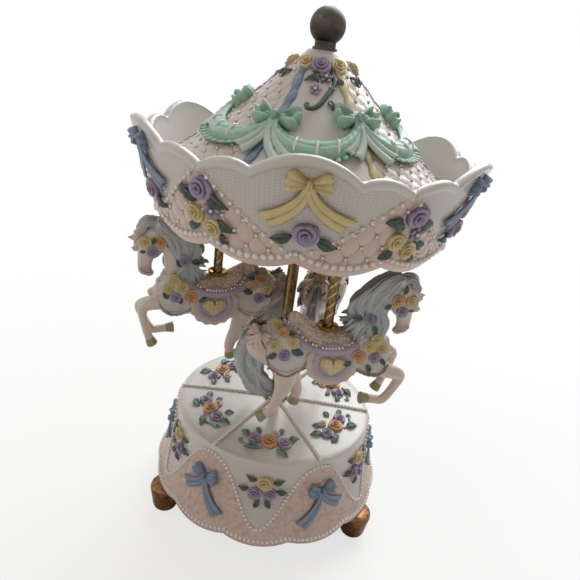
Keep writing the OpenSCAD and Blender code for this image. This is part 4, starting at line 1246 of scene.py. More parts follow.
class BuildCone(Builder):
    """Concave cone with quilted panels and coloured ribbons along its borders"""
    bl_idname = "carousel.build_cone"
    bl_label = "Cone"

    def build(self):
        cone = shell("glazed_cone", cone_section)
        finish_piece(cone, paint_box("casting"), "canopy", ["canopy_cone"])
        ribbons = {name: [] for name in RIBBON_GLAZES}
        for k, b in enumerate(BORDERS):
            def strip(u, v, b=b, k=k):
                r = 12.0 + 54.5 * u
                b = b + BOW_SHIFT[k] * ramp(r, 14.0, 26.0) * (1 - 0.5 * ramp(r, 40.0, 62.0))
                turns, across = 2 * np.pi * 9 * u, 2 * v - 1
                w = (1.75 + 0.3 * np.sin(turns)) * across
                twist = np.sin(turns + 1.6 * across)
                out = 0.5 + 0.35 * (1 - across ** 2) + 0.16 * twist
                # tint: painted shade where the twisted ribbon dips
                return raised(CONE, b + np.degrees(w / r), -r, out), 0.75 + 0.25 * twist
            ribbons[RIBBON_GLAZES[(k + 1) % 3]].append(thicken(sheet("strip", 110, 6, strip), 0.8, -1.0))
        for name, strips in ribbons.items():
            finish_piece(smooth(join("cone_ribbons_" + name, strips)), paint_box(name), "canopy")
        spots = []
        for m in MIDDLES[1::2]:
            for x, y in buttons((-40, 40), (5, 78), *CONE_QUILT):
                r = APEX_R + y / CONE_SLANT
                theta = m + math.degrees(x / r)
                if abs(theta - m) < 26 and r < 66:
                    spots.append(spot(CONE, theta, -r, 0.68, lift=0.2))
        pearls("cone_pearls", spots, "canopy")


class BuildSwags(Builder):
    """Mint swags with a ruffled hem and stitches, and the six bows that hold them"""
    bl_idname = "carousel.build_swags"
    bl_label = "Swags"

    def build(self):
        swags, hems, stitches = [], [], []
        for k, m in enumerate(MIDDLES):
            half = PANEL / 2 - 2.5 + (BOW_SHIFT[k] - BOW_SHIFT[k - 1]) / 2
            m = m + (BOW_SHIFT[k] + BOW_SHIFT[k - 1]) / 2

            def top(s, k=k):
                drop = (BOW_DROP[k - 1] * (1 - s) + BOW_DROP[k] * (1 + s)) / 2
                return 33.0 + 5.8 * (1 - s ** 2) ** 0.8 + drop

            def band(u, v, m=m, half=half, top=top):
                s = 2 * u - 1
                r_top = top(s)
                width = 3.6 + 3.2 * (1 - s ** 4)
                puff = np.sin(np.pi * np.clip(v, 0, 1)) ** 0.7
                fold = 0.22 * np.cos(2 * np.pi * (3 * v + 0.6 * s * s)) * puff
                fold = fold + 0.16 * np.cos(46 * s) * np.abs(s) ** 2
                out = 0.2 + puff * (2.5 + fold)
                # tint: painted shade along the band's edges and in its folds
                return raised(CONE, m + half * s, -(r_top + width * v), out), 0.35 + 0.45 * puff + 1.2 * fold
            swags.append(thicken(sheet("band", 60, 14, band), 0.6, -1.0))

            def hem(u, v, m=m, half=half, top=top):
                s = 2 * u - 1
                r_top = top(s) + 3.2 + 3.2 * (1 - s ** 4)
                wave = np.sin(2 * np.pi * 13 * u)
                out = 0.7 + (0.9 + 0.95 * wave) * v
                # tint: painted shade at the hem's top and in the ruffle's hollows
                return (raised(CONE, m + (half - 1) * s, -(r_top + (2.5 + 0.5 * wave) * v), out),
                        0.32 + 0.5 * wave * v + 0.2 * (v > 0.8))
            hems.append(thicken(sheet("hem", 130, 5, hem), 0.5, -1.0))
            for s in (-0.42, 0.0, 0.42):
                down, out = np.array([(0.6, 1.8), (1.6, 3.0), (3.0, 3.4), (4.4, 3.2), (5.8, 2.1)]).T
                line = raised(CONE, np.full(5, m + half * s), -(top(s) + down), out)
                stitches.append(tube("stitch", line, [0.4, 0.62, 0.68, 0.62, 0.4], 8))
        bands = smooth(join("mint_swags", swags + hems))
        finish_piece(bands, paint_box("mint"), "canopy", ["cone_swags"])
        finish_piece(smooth(join("swag_stitches", stitches)), paint_box("pearl"), "canopy")
        tails = [(8.5, 18.0, 8.0), (12.0, 19.5, 8.0)]
        places = [(b + BOW_SHIFT[k], -32.0 - BOW_DROP[k]) for k, b in enumerate(BORDERS)]
        for name, parts, glaze_name, nodes in (("mint_bows", ("loops",), "mint", ["cone_bows"]),
                                               ("mint_bow_tails", ("tails",), "mint_pale", [])):
            bow = make_bow(setting("cone_bow"), 40.0, tails, 5.4, 0.6, 10.0, 0.6, parts)
            obj = copies(name, bow, draped(bow, CONE, places))
            finish_piece(obj, paint_box(glaze_name), "canopy", nodes)
            discard(bow)


VINE_R = 22.0            # where a vine's middle lies on the cone


class BuildConeFlowers(Builder):
    """Roses round the top of the cone, with vines and blossoms on the white panels"""
    bl_idname = "carousel.build_cone_flowers"
    bl_label = "Cone flowers"

    def build(self):
        rose, leaf, blossom = make_rose(), make_leaf(), make_blossom()
        yellow = [(b, -12.4, 4.5, 30 * k) for k, b in enumerate(BORDERS)]
        lilac = [(m - 3, -13.0, 5.0, 40) for m in MIDDLES[0::2]]
        leaves = [(b + s * 20, -15.5, 5.4, 270 + s * 30) for b in BORDERS for s in (-1, 1)]
        stems, blossoms, hearts = [], [], []
        for m in MIDDLES[0::2]:
            flat = [(4.6, 9.4), (6.2, 5.2), (5.0, 1.2), (3.0, -2.6), (1.4, -6.6), (-1.2, -9.4), (-3.6, -9.2),
                    (-4.4, -7.6), (-3.4, -6.8)]
            stems.append(tendril(CONE, m, -VINE_R, flat, [0.95, 1.1, 1.0, 0.7]))

            def on_vine(x, y, m=m):
                r = VINE_R - y / CONE_SLANT
                return m + math.degrees(x / r), -r

            for x, y, radius in ((2.2, 6.6, 2.8), (-1.4, 0.2, 2.6)):
                blossoms.append((*on_vine(x, y), radius, 10))
                hearts.append(on_vine(x, y))
            for x, y, radius, spin in ((5.6, 3.0, 5.2, 240), (4.6, -4.0, 5.0, 290), (3.0, 9.0, 4.8, 60),
                                       (-1.4, 6.0, 5.0, 200), (6.4, 6.0, 4.6, 320)):
                leaves.append((*on_vine(x, y), radius, spin))
        cluster("cone_roses_yellow", rose, CONE, yellow, "canopy", "yellow", ["cone_roses"], 9)
        cluster("cone_roses_lilac", rose, CONE, lilac, "canopy", "lilac", (), 10)
        cluster("cone_leaves", leaf, CONE, leaves, "canopy", "leaf", (), 11)
        cluster("cone_blossoms", blossom, CONE, blossoms, "canopy", "lilac", (), 12, 0.1)
        pearls("cone_blossom_hearts", [spot(CONE, a, t, 0.7, lift=1.1) for a, t in hearts], "canopy")
        finish_piece(smooth(join("cone_vines", stems)), paint_box("leaf"), "canopy")
        discard(rose, leaf, blossom)


# ---------- horses: local millimetres, nose to +X, saddle seat at the origin ----------

RIDERS = (("front", -60.0, 12.0), ("left", 180.0, 200.0), ("rear", 60.0, 80.0))
POLE_AT, POLE_R, SINK = 37.3, 2.3, 14.0


def curve(knots, n):
    """n points on a smooth curve through knots (Catmull-Rom)."""
    p = np.asarray(knots, float)
    q = np.concatenate([2 * p[:1] - p[1:2], p, 2 * p[-1:] - p[-2:-1]])
    s = np.linspace(0, len(p) - 1, n)
    k = np.minimum(s.astype(int), len(p) - 2)
    f = (s - k)[:, None]
    a, b, c, d = q[k], q[k + 1], q[k + 2], q[k + 3]
    square, cube = 2 * a - 5 * b + 4 * c - d, 3 * b - a - 3 * c + d
    return 0.5 * (2 * b + (c - a) * f + square * f ** 2 + cube * f ** 3)


def limb(name, sections, sides=16, rings=24):
    """A limb with rounded ends, from (x, y, z, radius, width share) sections."""
    fine = curve(sections, rings)
    turns = (0.4, 0.8, 1.2, math.pi / 2)

    def cap(end, before, angles):
        out, r = unit(end[:3] - before[:3]), end[3]
        return [[*(end[:3] + out * r * math.sin(a)), max(r * math.cos(a), 0), end[4]] for a in angles]

    fine = np.concatenate([cap(fine[0], fine[1], turns[::-1]), fine, cap(fine[-1], fine[-2], turns)])
    return tube(name, fine[:, :3], fine[:, 3], sides, flat=fine[:, 4], up=(0, 1, 0))


def ball(place, radius, squash=(1, 1, 1)):
    made = primitive("ball", "uv_sphere", segments=16, ring_count=10, radius=MM)
    move_points(made, points(made) * radius * np.array(squash) + np.array(place))
    paint(made, "tint", 1.0)
    return made


def torso_width(x):
    """Middle height, half height and half width of the trunk at x."""
    xs = [-37.5, -35, -31, -26, -20, -12, -4, 4, 12, 20, 26, 30, 32.5]
    mid = [-9, -9, -9, -9.2, -9.6, -10.4, -11, -11.3, -11.6, -11.2, -10.4, -9.8, -9.6]
    half = [0.1, 4.6, 7.8, 9.8, 10.2, 9.4, 9.0, 9.1, 9.6, 9.9, 8.6, 5.8, 0.1]
    wide = [0.1, 4.0, 6.6, 8.4, 9.0, 8.4, 8.2, 8.3, 8.7, 8.6, 7.2, 4.8, 0.1]
    return np.interp(x, xs, mid), np.interp(x, xs, half), np.interp(x, xs, wide)


NECK = ((18, 0, -12, 8.6, 0.8), (19.2, 0, -4, 8.6, 0.74), (19.4, 0, 3, 6.8, 0.72), (21, 0, 9.5, 5.6, 0.76),
        (23.6, 0, 15.5, 5, 0.8), (27, 0, 20, 4.9, 0.8))
HEAD = ((28.2, 0, 21, 4.7, 0.74), (31.6, 0, 19, 5.6, 0.66), (33.2, 0, 14.5, 5.4, 0.66),
        (34.6, 0, 9.4, 4.1, 0.62), (35.2, 0, 5.6, 3.4, 0.7), (35.1, 0, 2.6, 3.3, 0.78))
LEGS = (((20, -4.6, -13, 5.6, 0.94), (29, -5.8, -17.2, 3.7, 1), (34.4, -6, -18.6, 3.1, 1),
         (37, -6, -20.2, 2.6, 1), (35.6, -6, -25, 2.2, 1), (33, -6, -30.6, 2.1, 1),
         (30.6, -6, -33.6, 2.2, 1), (27, -6, -33.6, 2, 1), (23.5, -6, -33.1, 2.2, 1)),
        ((20, 4.6, -12, 5.6, 0.94), (29, 5.8, -12.8, 3.6, 1), (33.6, 6, -13.8, 3, 1),
         (36.1, 6, -15.2, 2.7, 1), (36, 6, -19.4, 2.2, 1), (34.8, 6, -24.6, 2.1, 1),
         (33.4, 6, -29.6, 2.1, 1), (32.6, 6, -32.2, 2.1, 1)),
        ((-20, -4, -11, 8, 0.74), (-17.2, -4.8, -20, 6, 0.82), (-17.4, -6, -27.2, 4.3, 0.9),
         (-19.2, -6, -33.4, 2.8, 1), (-20.4, -6, -37.6, 2.4, 1), (-22, -6, -41, 2.3, 1),
         (-24.2, -6, -42.3, 2.3, 1)),
        ((-20, 4, -11, 8, 0.74), (-14.6, 4.8, -20.5, 6, 0.82), (-11.4, 6, -29, 4.3, 0.9),
         (-8.9, 6, -34.2, 3.2, 1), (-8, 6, -38, 2.7, 1), (-8.3, 6, -41, 2.4, 1)))


def model_horse():
    """The bare horse: trunk, arched neck, head and legs grown together and smoothed."""
    xs = np.array([-36.5, -34, -30, -25, -20, -12, -4, 4, 12, 19, 25, 29, 31.5])
    mid, half, wide = torso_width(xs)
    parts = [limb("trunk", xyz(xs, 0, mid, half, wide / half), 28, 40), limb("neck", NECK, 20),
             limb("head", HEAD, 20)]
    for side in (-1, 1):
        parts += [ball((30.8, 2.0 * side, 13.2), 3.6, (1, 0.62, 1.15)),          # cheek
                  ball((36.6, 2.1 * side, 3.4), 1.35, (1, 0.8, 1)),              # nostril
                  ball((36.2, 2.5 * side, 12.6), 1.5, (1.2, 0.75, 1)),           # eyelid
                  limb("ear", [(29.6, 2.6 * side, 23.2, 1.5, 0.7), (29.2, 3.5 * side, 25.6, 1.3, 0.6),
                               (30.2, 4.1 * side, 27.8, 0.4, 0.6)], 10, 10),
                  ball((18, 4.6 * side, -9), 7.2, (1, 0.62, 1.1)),               # shoulder
                  ball((-21.5, 4.2 * side, -10), 8.4, (1, 0.6, 1.05))]           # haunch
    parts.append(ball((33.2, 0, 0.6), 2.3, (1.1, 1.0, 0.8)))                     # chin
    parts += [limb("leg", leg) for leg in LEGS]
    horse = join("horse", parts)
    modify(horse, "REMESH", mode="VOXEL", voxel_size=0.5 * MM)
    modify(horse, "SMOOTH", factor=0.5, iterations=7)
    co = points(horse)
    muzzle = ramp(np.linalg.norm(co - np.array([35.6, 0, 1.6]), axis=1), 5.4, 2.6)
    mouth = np.abs(co[:, 2] - 1.5 - 0.12 * (co[:, 0] - 34)) < 0.35
    mouth &= (co[:, 0] > 32.2) & (co[:, 2] < 3)
    nostril = ramp(np.linalg.norm(np.abs(co) - np.array([37.2, 2.7, 3.4]), axis=1), 1.1, 0.6)
    paint(horse, "blush", np.clip(muzzle * 0.9 + 0.25 * ramp(co[:, 2], -20, -30), 0, 1))
    # painted shade in the mouth line and the nostrils
    paint(horse, "tint", 1 - 0.75 * mouth - 0.9 * nostril)
    return smooth(horse)


def model_hooves():
    """Four flared hooves."""
    parts = []
    for start, end, low, high in (((23.8, -6, -33.1), (19.6, -6, -32.7), 2.25, 2.9),
                                  ((32.7, 6, -31.9), (31.0, 6, -35.6), 2.2, 2.8),
                                  ((-24.0, -6, -42.2), (-27.3, -6, -44.7), 2.3, 2.9),
                                  ((-8.2, 6, -40.6), (-9.0, 6, -44.6), 2.4, 3.0)):
        a, b = np.array(start, float), np.array(end, float)
        along = unit(b - a)
        path = [a, a + 0.01 * along, a + 0.4 * along, 0.5 * (a + b), b - 0.4 * along, b, b + 0.01 * along]
        radii = [0, low * 0.9, low, 0.5 * (low + high), high, high * 0.9, 0]
        parts.append(tube("hoof", path, radii, 20, up=(0, 1, 0)))
    hooves = join("hooves", parts)
    paint(hooves, "tint", 1.0)
    return smooth(hooves, 40)


def lock(path, radius, wave, phase, side=1.0, rings=26):
    """One wavy lock of hair along path, thick in its middle and pointed at its end."""
    line = curve(path, rings)
    along = unit(np.gradient(line, axis=0))
    across = unit(np.cross(along, np.array([0, 1.0, 0])) + 1e-9)
    s = np.linspace(0, 1, rings)
    turns = 2 * np.pi * (2.2 * s + phase)
    line = line + across * (wave * np.sin(turns) * np.sin(np.pi * s) ** 0.5)[:, None]
    line[:, 1] += 0.2 * wave * np.cos(turns) * side
    r = radius * (0.35 + 0.65 * np.sin(np.pi * np.clip(0.15 + 0.8 * s, 0, 1)))
    r = r * np.clip((1 - s) / 0.16, 0, 1) ** 0.6
    r[0] = 0

    # painted light and shade: each lock lighter on one side, with three darker grooves round it
    def lock_shade(u, v):
        return 0.45 + 0.4 * np.sin(2 * np.pi * v) * np.sign(side) + 0.25 * np.cos(6 * np.pi * v)

    return tube("lock", line, r, flat=0.62, up=(0, 1, 0), tint=lock_shade)


MANE_GUIDES = np.array([
    [(34.5, 23.2), (30.5, 22.4), (26.2, 18), (24, 12), (23.6, 6), (23.4, 0), (22.6, -5.8)],
    [(33.5, 24.8), (28.6, 24.4), (23.6, 19.6), (21.2, 12.6), (20.6, 6), (19.4, -0.6), (17.2, -7)],
    [(32.4, 26.2), (26.6, 26), (20.6, 21), (17.6, 14), (17, 7), (15.2, 0.4), (13.2, -5.2)],
    [(31, 27.2), (24.4, 26.2), (17.6, 20.6), (14.4, 13.8), (14, 7.2), (11.2, 2), (8.4, -1.8)],
    [(29.6, 27.4), (21.6, 24.6), (14.6, 18.6), (11.2, 12.6), (11.6, 7.4), (9.2, 4.6), (5, 4.2)],
    [(27.8, 27), (19.4, 22.6), (12.6, 17.2), (9, 12), (9.6, 9), (8.4, 8.4), (7, 8.4)]])
TAIL_GUIDES = np.array([
    [(-28.5, -1), (-34, -3.2), (-37, -9.4), (-37.3, -16), (-36.2, -23), (-33.6, -29.6), (-29.6, -34.6)],
    [(-28.5, -2.4), (-33.6, -6), (-35.8, -12), (-35.8, -19), (-33.6, -26), (-29.6, -32), (-24.8, -36.4)],
    [(-28, -4), (-32.8, -8.4), (-34.6, -14), (-34.2, -21), (-31.2, -27.6), (-26.4, -33.6), (-21.4, -37.8)],
    [(-27.6, -5.4), (-30.8, -10.4), (-32, -16), (-31, -22), (-28, -28), (-24.2, -32.6), (-20.6, -35.8)],
    [(-27.2, -7), (-29, -12), (-29.6, -17), (-28.2, -22.6), (-25.2, -27.4), (-22.4, -31), (-19.6, -33)]])


def between(guides, g):
    """The guide line at g, which may lie between two of them."""
    i = min(int(g), len(guides) - 2)
    return guides[i] * (1 - g + i) + guides[i + 1] * (g - i)


def model_hair():
    """Mane, forelock and tail, as swept wavy locks over a solid core."""
    rng = np.random.default_rng(11)
    parts = [limb("core", [(29.5, 0, 22.6, 3.6, 0.8), (24, 0, 22, 4.4, 0.75), (18.5, 0, 17, 5.0, 0.75),
                           (15.4, 0, 10.5, 5.0, 0.8), (14, 0, 4, 4.6, 1.0), (13.4, 0, -2, 3.8, 1.4)], 14),
             limb("tail_core", [(-29, 0, -4, 2.6, 0.9), (-35, 0, -10, 3.4, 0.9), (-35.6, 0, -18, 4.2, 0.8),
                                (-32, 0, -26.4, 4.4, 0.75), (-26.4, 0, -32.4, 3.4, 0.7),
                                (-22.4, 0, -35.8, 1.4, 0.7)], 14)]
    body_y = np.array([1.4, 3.0, 4.3, 4.8, 5.4, 6.6, 7.6])
    for side in (-1, 1):
        for g in np.linspace(0, len(MANE_GUIDES) - 1, 15):
            flat = between(MANE_GUIDES, g)
            flat = flat + rng.uniform(-0.5, 0.5, flat.shape)
            if side > 0:                        # swept further back on this side
                flat[:, 0] -= 4.2 * (1 - g / 3) * np.array([0, 0, 0.5, 1, 1, 0.8, 0.6])
            y = side * (body_y * (1.0 - 0.09 * g) + rng.uniform(-0.3, 0.5))
            path = xyz(flat[:, 0], y, flat[:, 1])
            parts.append(lock(path, rng.uniform(1.5, 2.2), 1.15, rng.random(), side))
    for path in ([(29, 0, 25.6), (33, 0.6, 27.6), (36.6, 0.8, 25.2), (38.4, 0.6, 22.2)],
                 [(30, -1.6, 25.8), (34, -2.0, 26.4), (37, -2.2, 23.4), (38.0, -2.4, 20.4)],
                 [(30, 1.8, 25.6), (34, 2.4, 26.2), (36.6, 2.8, 23.4), (37.6, 2.8, 20.6)]):
        parts.append(lock(path, 2.1, 0.4, rng.random(), 1.0, 18))
    for layer, spread in ((-1, -1.9), (0, 0.0), (1, 1.9)):
        for g in np.linspace(0, len(TAIL_GUIDES) - 1, 9 if layer else 6):
            flat = between(TAIL_GUIDES, g)
            flat = flat + rng.uniform(-0.7, 0.7, flat.shape)
            y = spread * np.array([0.2, 0.8, 1.0, 1.1, 1.1, 1.0, 0.8]) + rng.uniform(-0.35, 0.35)
            path = xyz(flat[:, 0], y, flat[:, 1])
            parts.append(lock(path, rng.uniform(1.5, 2.0), 1.3, rng.random(), layer or 1.0))
    parts.append(lock([(-37, 0.6, -12), (-39.4, 0.8, -13.4), (-41.2, 0.6, -14.6)], 1.2, 0.3, 0.2, 1.0, 10))
    parts.append(lock([(10, -1.5, 9), (7.4, -2.2, 6.4), (4.0, -2.0, 5.4)], 1.3, 0.3, 0.1, -1.0, 12))
    return smooth(join("hair", parts))


def model_forelock():
    """Pale curls that stand out over the brow."""
    parts = []
    for k, tip in enumerate(((43.2, 0.8, 18.4), (41.4, -1.2, 12.4), (40.4, 1.6, 20.8), (40.6, 0.6, 14.8),
                             (39.4, -2.2, 17.6))):
        path = [(33.0, 0.4 * tip[1], 24.6), (36.6, 0.8 * tip[1], 0.6 * tip[2] + 10.4),
                (39.0, tip[1], tip[2] + 0.4), tip]
        parts.append(lock(path, 1.9, 0.3, 0.21 * k, 1.0, 16))
    made = join("forelock", parts)
    co = points(made)
    # painted shade in waves across the curls
    paint(made, "tint", 0.82 + 0.18 * np.cos(1.7 * co[:, 2] + 0.8 * co[:, 0]))
    paint(made, "blush", 0.0)
    return smooth(made)


def cloth_edge(x):
    """Lower edge of the caparison: a chest lobe, a belly notch and a rump lobe."""
    xs = [-27.5, -26.8, -24.5, -21.2, -17.3, -12.5, -9.8, -6, 0,
          6, 11, 13.5, 16.5, 19.4, 23.4, 26.2, 28, 29.6]
    zs = [-8, -12.5, -16.5, -18.6, -19.4, -17.2, -15.6, -16.4, -17.4,
          -17.2, -15.8, -15.4, -16.7, -18, -18, -16, -13, -10]
    return np.interp(x, xs, zs)


def flank_y(x, z):
    """Half width of the trunk at a height; below its middle the cloth hangs straight."""
    mid, half, wide = torso_width(x)
    return wide * np.sqrt(1 - np.clip((z - mid) / half, 0, 0.98) ** 2)


def flank(x, v, side, out):
    """A place on the cloth: v runs from the spine (0) over the flank (0.6) to the lower edge (1)."""
    mid, half, wide = torso_width(x)
    a = np.pi / 2 * (1 - np.clip(v / 0.6, 0, 1))
    low = np.clip((v - 0.6) / 0.4, 0, 1)
    y = (wide + out) * np.cos(a) * (1 - 0.06 * low ** 2)
    z = mid + (half + out) * np.sin(a) + (cloth_edge(x) - mid) * low
    return xyz(x, side * y, z)


def cling(obj, skin, gap):
    """Moves points that lie under the skin out of it."""
    modify(obj, "SHRINKWRAP", target=skin, wrap_method="NEAREST_SURFACEPOINT", wrap_mode="OUTSIDE",
           offset=gap * MM)


def model_caparison(horse):
    """Cloth over the trunk, in one sheet from edge to edge."""
    def cloth(u, v):
        x = -27.4 + 57.0 * u
        side = np.where(v < 0.5, -1.0, 1.0)
        w = np.abs(2 * v - 1)
        fold = 0.35 * np.sin(x * 0.9) * ramp(w, 0.6, 1.0)
        rim = ramp(w, 0.90, 0.95)
        co = flank(x, w, side, 0.8 + fold + 0.35 * rim)
        # tint: painted shadow in a line where the cloth steps out to its rim
        return co, 0.9 - 0.5 * np.exp(-((w - 0.90) / 0.025) ** 2)
    made = face_out(sheet("cloth", 76, 60, cloth), Vector((0, 0, 1)))
    cling(made, horse, 0.7)
    modify(made, "SMOOTH", factor=0.5, iterations=4)
    cling(made, horse, 0.6)
    return smooth(thicken(made, 0.9, -0.6))


def hem(cloth, x_low, x_high, radius):
    """Raised scalloped rims along the cloth's lower edge on both sides."""
    parts = []
    skin = points(cloth)
    for side in (-1, 1):
        xs = np.linspace(x_low, x_high, 90)
        path = flank(xs, np.ones(90), side, 1.15)
        near = skin[skin[:, 1] * side > 4]
        for row in path:
            d = np.hypot(near[:, 0] - row[0], near[:, 2] - row[2])
            row[1] = side * max(np.abs(near[d < 1.6, 1]).max(initial=9.0), 8.0)
        path[1:-1, 1] = 0.25 * path[:-2, 1] + 0.5 * path[1:-1, 1] + 0.25 * path[2:, 1]
        r = radius * (1 + 0.22 * np.sin(xs * 2 * np.pi / 2.2))
        r[0] = r[-1] = 0
        parts.append(tube("rim", path, r, 8, up=(0, 1, 0)))
    return smooth(join("rim", parts))


def saddle_low(x):
    """Lower edge of the saddle."""
    return np.interp(x, [-20, -15, -12, -8, -3, 1, 6, 10, 13],
                     [5.0, 0.6, -1.8, -3.8, -5.0, -5.3, -4.8, -3.5, -1.8])


def model_saddle():
    """Padded saddle with a raised cantle behind and its low pommel in front."""
    def seat(u, v):
        x = -18.6 + 31.2 * u
        w = 2 * v - 1
        mid, half, wide = torso_width(x)
        top = np.interp(x, [-18.6, -17.4, -15.2, -12, -9, -6, -2, 4, 9, 12.6],
                        [4.6, 7.4, 8.0, 6.2, 4.2, 2.2, 0.2, -0.2, 0.8, 1.6])
        low = saddle_low(x)
        s_low = np.clip((low - mid) / half, -0.2, 0.98)
        edge = (wide + 2.6) * np.sqrt(1 - s_low ** 2)
        puff = np.abs(w) ** 2.2
        y = edge * np.sign(w) * np.abs(w) ** 0.9
        z = top + (low - top) * puff
        lip = 0.5 * np.exp(-((np.abs(w) - 0.94) / 0.05) ** 2)
        return xyz(x, y * (1 + 0.02 * lip), z + lip), 0.9
    return smooth(thicken(face_out(sheet("seat", 40, 32, seat), Vector((0, 0, 1))), 1.6, -1.0))


PENDANT = (2.2, 1.7, -12.0)             # middle: x, standing out from the flank, z


def medallion(rows, side, steps, scallop, wave, squash=(1, 1)):
    """A scalloped disc that faces sideways: rows of (radius, standing out) spun round PENDANT."""
    rows = np.asarray(rows, float)

    def place(u, v):
        a = 2 * np.pi * u
        s = v * (len(rows) - 1)
        r = np.interp(s, np.arange(len(rows)), rows[:, 0])
        h = np.interp(s, np.arange(len(rows)), rows[:, 1])
        r = r * (1 + wave * np.cos(scallop * a) * (r / rows[:, 0].max()))
        x, z = PENDANT[0] + squash[0] * r * np.cos(a), PENDANT[2] + squash[1] * r * np.sin(a)
        co = xyz(x, side * (flank_y(x, z) + PENDANT[1] + h), z)
        # tint: painted shade, darker where the disc lies low
        return co, 0.5 + 0.5 * np.clip(h / max(rows[:, 1].max(), 0.1), 0, 1)
    return face_out(sheet("medallion", steps, len(rows) - 1, place, loop=True))


def model_trims(cloth):
    """Lilac band, pendant rings and the lilac rim of the chest lobe."""
    parts = [hem(cloth, 12.4, 28.6, 0.55)]
    for side in (-1, 1):
        def band(u, v, side=side):
            x = -20.5 + 34.5 * u
            z = saddle_low(x) - 0.6 - 3.0 * v
            mid, half, wide = torso_width(x)
            s = np.clip((z - mid) / half, -0.9, 0.99)
            out = 2.9 + 0.6 * np.sin(np.pi * v)
            y = (wide + out) * np.where(s > 0, np.sqrt(1 - s ** 2), 1.0)
            # tint: painted shade along both edges of the band
            return xyz(x, side * y, z + 0.6), 0.4 + 0.5 * np.sin(np.pi * v)
        parts.append(thicken(face_out(sheet("band", 50, 5, band), Vector((0, side, 0))), 1.2, -1.0))
        parts.append(medallion([(0, 0.5), (6.4, 0.5), (6.8, 1.0), (7.8, 1.3), (8.8, 1.0), (9.0, 0.3),
                                (9.0, -0.6), (0, -0.6)], side, 48, 16, 0.02))
    return smooth(join("trims", parts), 50)


def model_peach(cloth):
    """Peach scalloped rims: round the pendants and along the rump lobe."""
    parts = [hem(cloth, -27.2, -8.6, 0.4)]
    for side in (-1, 1):
        parts.append(medallion([(0, 0.2), (9.4, 0.4), (10.6, 0.6), (11.8, 0.3), (12.0, -0.4), (10.6, -0.8),
                                (0, -0.8)], side, 64, 15, 0.035, (1, 0.96)))
    return smooth(join("peach_trims", parts), 50)


def model_heart():
    """A quilted heart on each pendant."""
    parts = []
    for side in (-1, 1):
        def face(u, v, side=side):
            a, s = 2 * np.pi * u, 1 - v
            x = 0.375 * 16 * np.sin(a) ** 3
            z = 0.345 * (13 * np.cos(a) - 5 * np.cos(2 * a) - 2 * np.cos(3 * a) - np.cos(4 * a))
            puff = 1.0 + 1.2 * (1 - s ** 2.4) ** 0.6
            knob = np.abs(np.sin(1.5 * x * s) * np.sin(1.5 * z * s))
            puff = puff + 0.35 * (knob - 0.5) * (s < 0.95)
            y = flank_y(PENDANT[0] + x * s, PENDANT[2] - 1.2 + z * s) + PENDANT[1]
            # tint: painted shade towards the heart's rim and between its knobs
            return xyz(PENDANT[0] + x * s, side * (y + puff * np.where(s > 0.999, 0.2, 1.0)),
                             PENDANT[2] - 1.2 + z * s), 0.45 + 0.3 * (1 - s) + 0.45 * knob
        parts.append(face_out(sheet("heart", 72, 14, face, loop=True)))
    return smooth(join("hearts", parts))


def skin_of(*objs):
    """A search tree over the outer faces of several objects, in millimetres."""
    verts, faces = [], []
    for obj in objs:
        start = len(verts)
        verts += [Vector(co) for co in points(obj)]
        faces += [[start + i for i in face.vertices] for face in obj.data.polygons]
    return BVHTree.FromPolygons(verts, faces)


PRESSED = 0.22           # share of its radius that a rose is pressed into the horse


def side_spots(skin, places, tip=CAMERA_TIP):
    """Placing matrices on both flanks, where a look along the tipped view meets the skin.

    places are (x, z, radius, spin, y), measured on an upright plane at y."""
    spots = []
    for side in (-1, 1):
        look = Vector((0.0, -side * math.cos(tip), -math.sin(tip)))
        for x, z, radius, spin, y in places:
            hit, out = skin.ray_cast(Vector((x, side * y, z)) - 60 * look, look)[:2]
            if hit is None:
                hit, out = skin.find_nearest(Vector((x, side * y, z)))[:2]
            if out.dot(look) > 0:
                out = -out
            out = (0.55 * out + 0.45 * Vector((0.0, side, 0.25))).normalized()
            up = out.cross(Vector((1.0, 0, 0))).normalized()
            turn = Matrix((up.cross(out), up, out)).transposed() @ Matrix.Rotation(math.radians(spin), 3, "Z")
            seat = Matrix.Translation(hit - PRESSED * radius * out)
            spots.append(seat @ turn.to_4x4() @ Matrix.Scale(radius, 4))
    return spots


HORSE_ROSES = {
    "yellow": [(21.5, 0, 3.9, 0, 9), (18, -3.4, 3.7, 40, 9), (24.4, -4.4, 3.7, 70, 9), (-16, -3, 3.5, 20, 9),
               (-24.5, -4.6, 3.5, 80, 9), (-23, 4.8, 3.4, 10, 9), (35.2, 17.8, 3.7, 30, 5)],
    "peach": [(13.6, -8, 4.2, 0, 10), (-21, 1.4, 3.3, 55, 9), (28.4, 18, 4, 0, 5)],
    "lilac": [(21, -8.4, 3.5, 25, 10), (-20, -9.2, 3.4, 60, 9), (31.7, 12.6, 3.5, 0, 5), (17, 9, 3.7, 0, 7)],
    "leaf": [(18.2, -11.8, 5, -70, 10), (24.4, -9, 4.6, -50, 10), (10.4, -10.6, 4.4, 210, 10),
             (-17, -6.6, 6.6, -18, 9), (-23, -8.6, 5.2, 210, 9), (-19, 1.6, 5, -10, 9),
             (-20.6, 6.2, 4.6, 60, 9), (30.6, 20.6, 4.4, 70, 5), (25.8, 15.6, 4.4, 210, 5),
             (14, 9, 5.4, 175, 7), (18.6, 6, 5, -60, 7)],
}


def world_points(co, angle, heading, saddle_z):
    """Local millimetres of a horse to the shared frame."""
    a, h = math.radians(angle), math.radians(heading)
    c, s = math.cos(h), math.sin(h)
    x, y = co[:, 0], co[:, 1]
    return xyz(x * c - y * s + POLE_AT * math.cos(a), x * s + y * c + POLE_AT * math.sin(a),
               co[:, 2] + saddle_z)


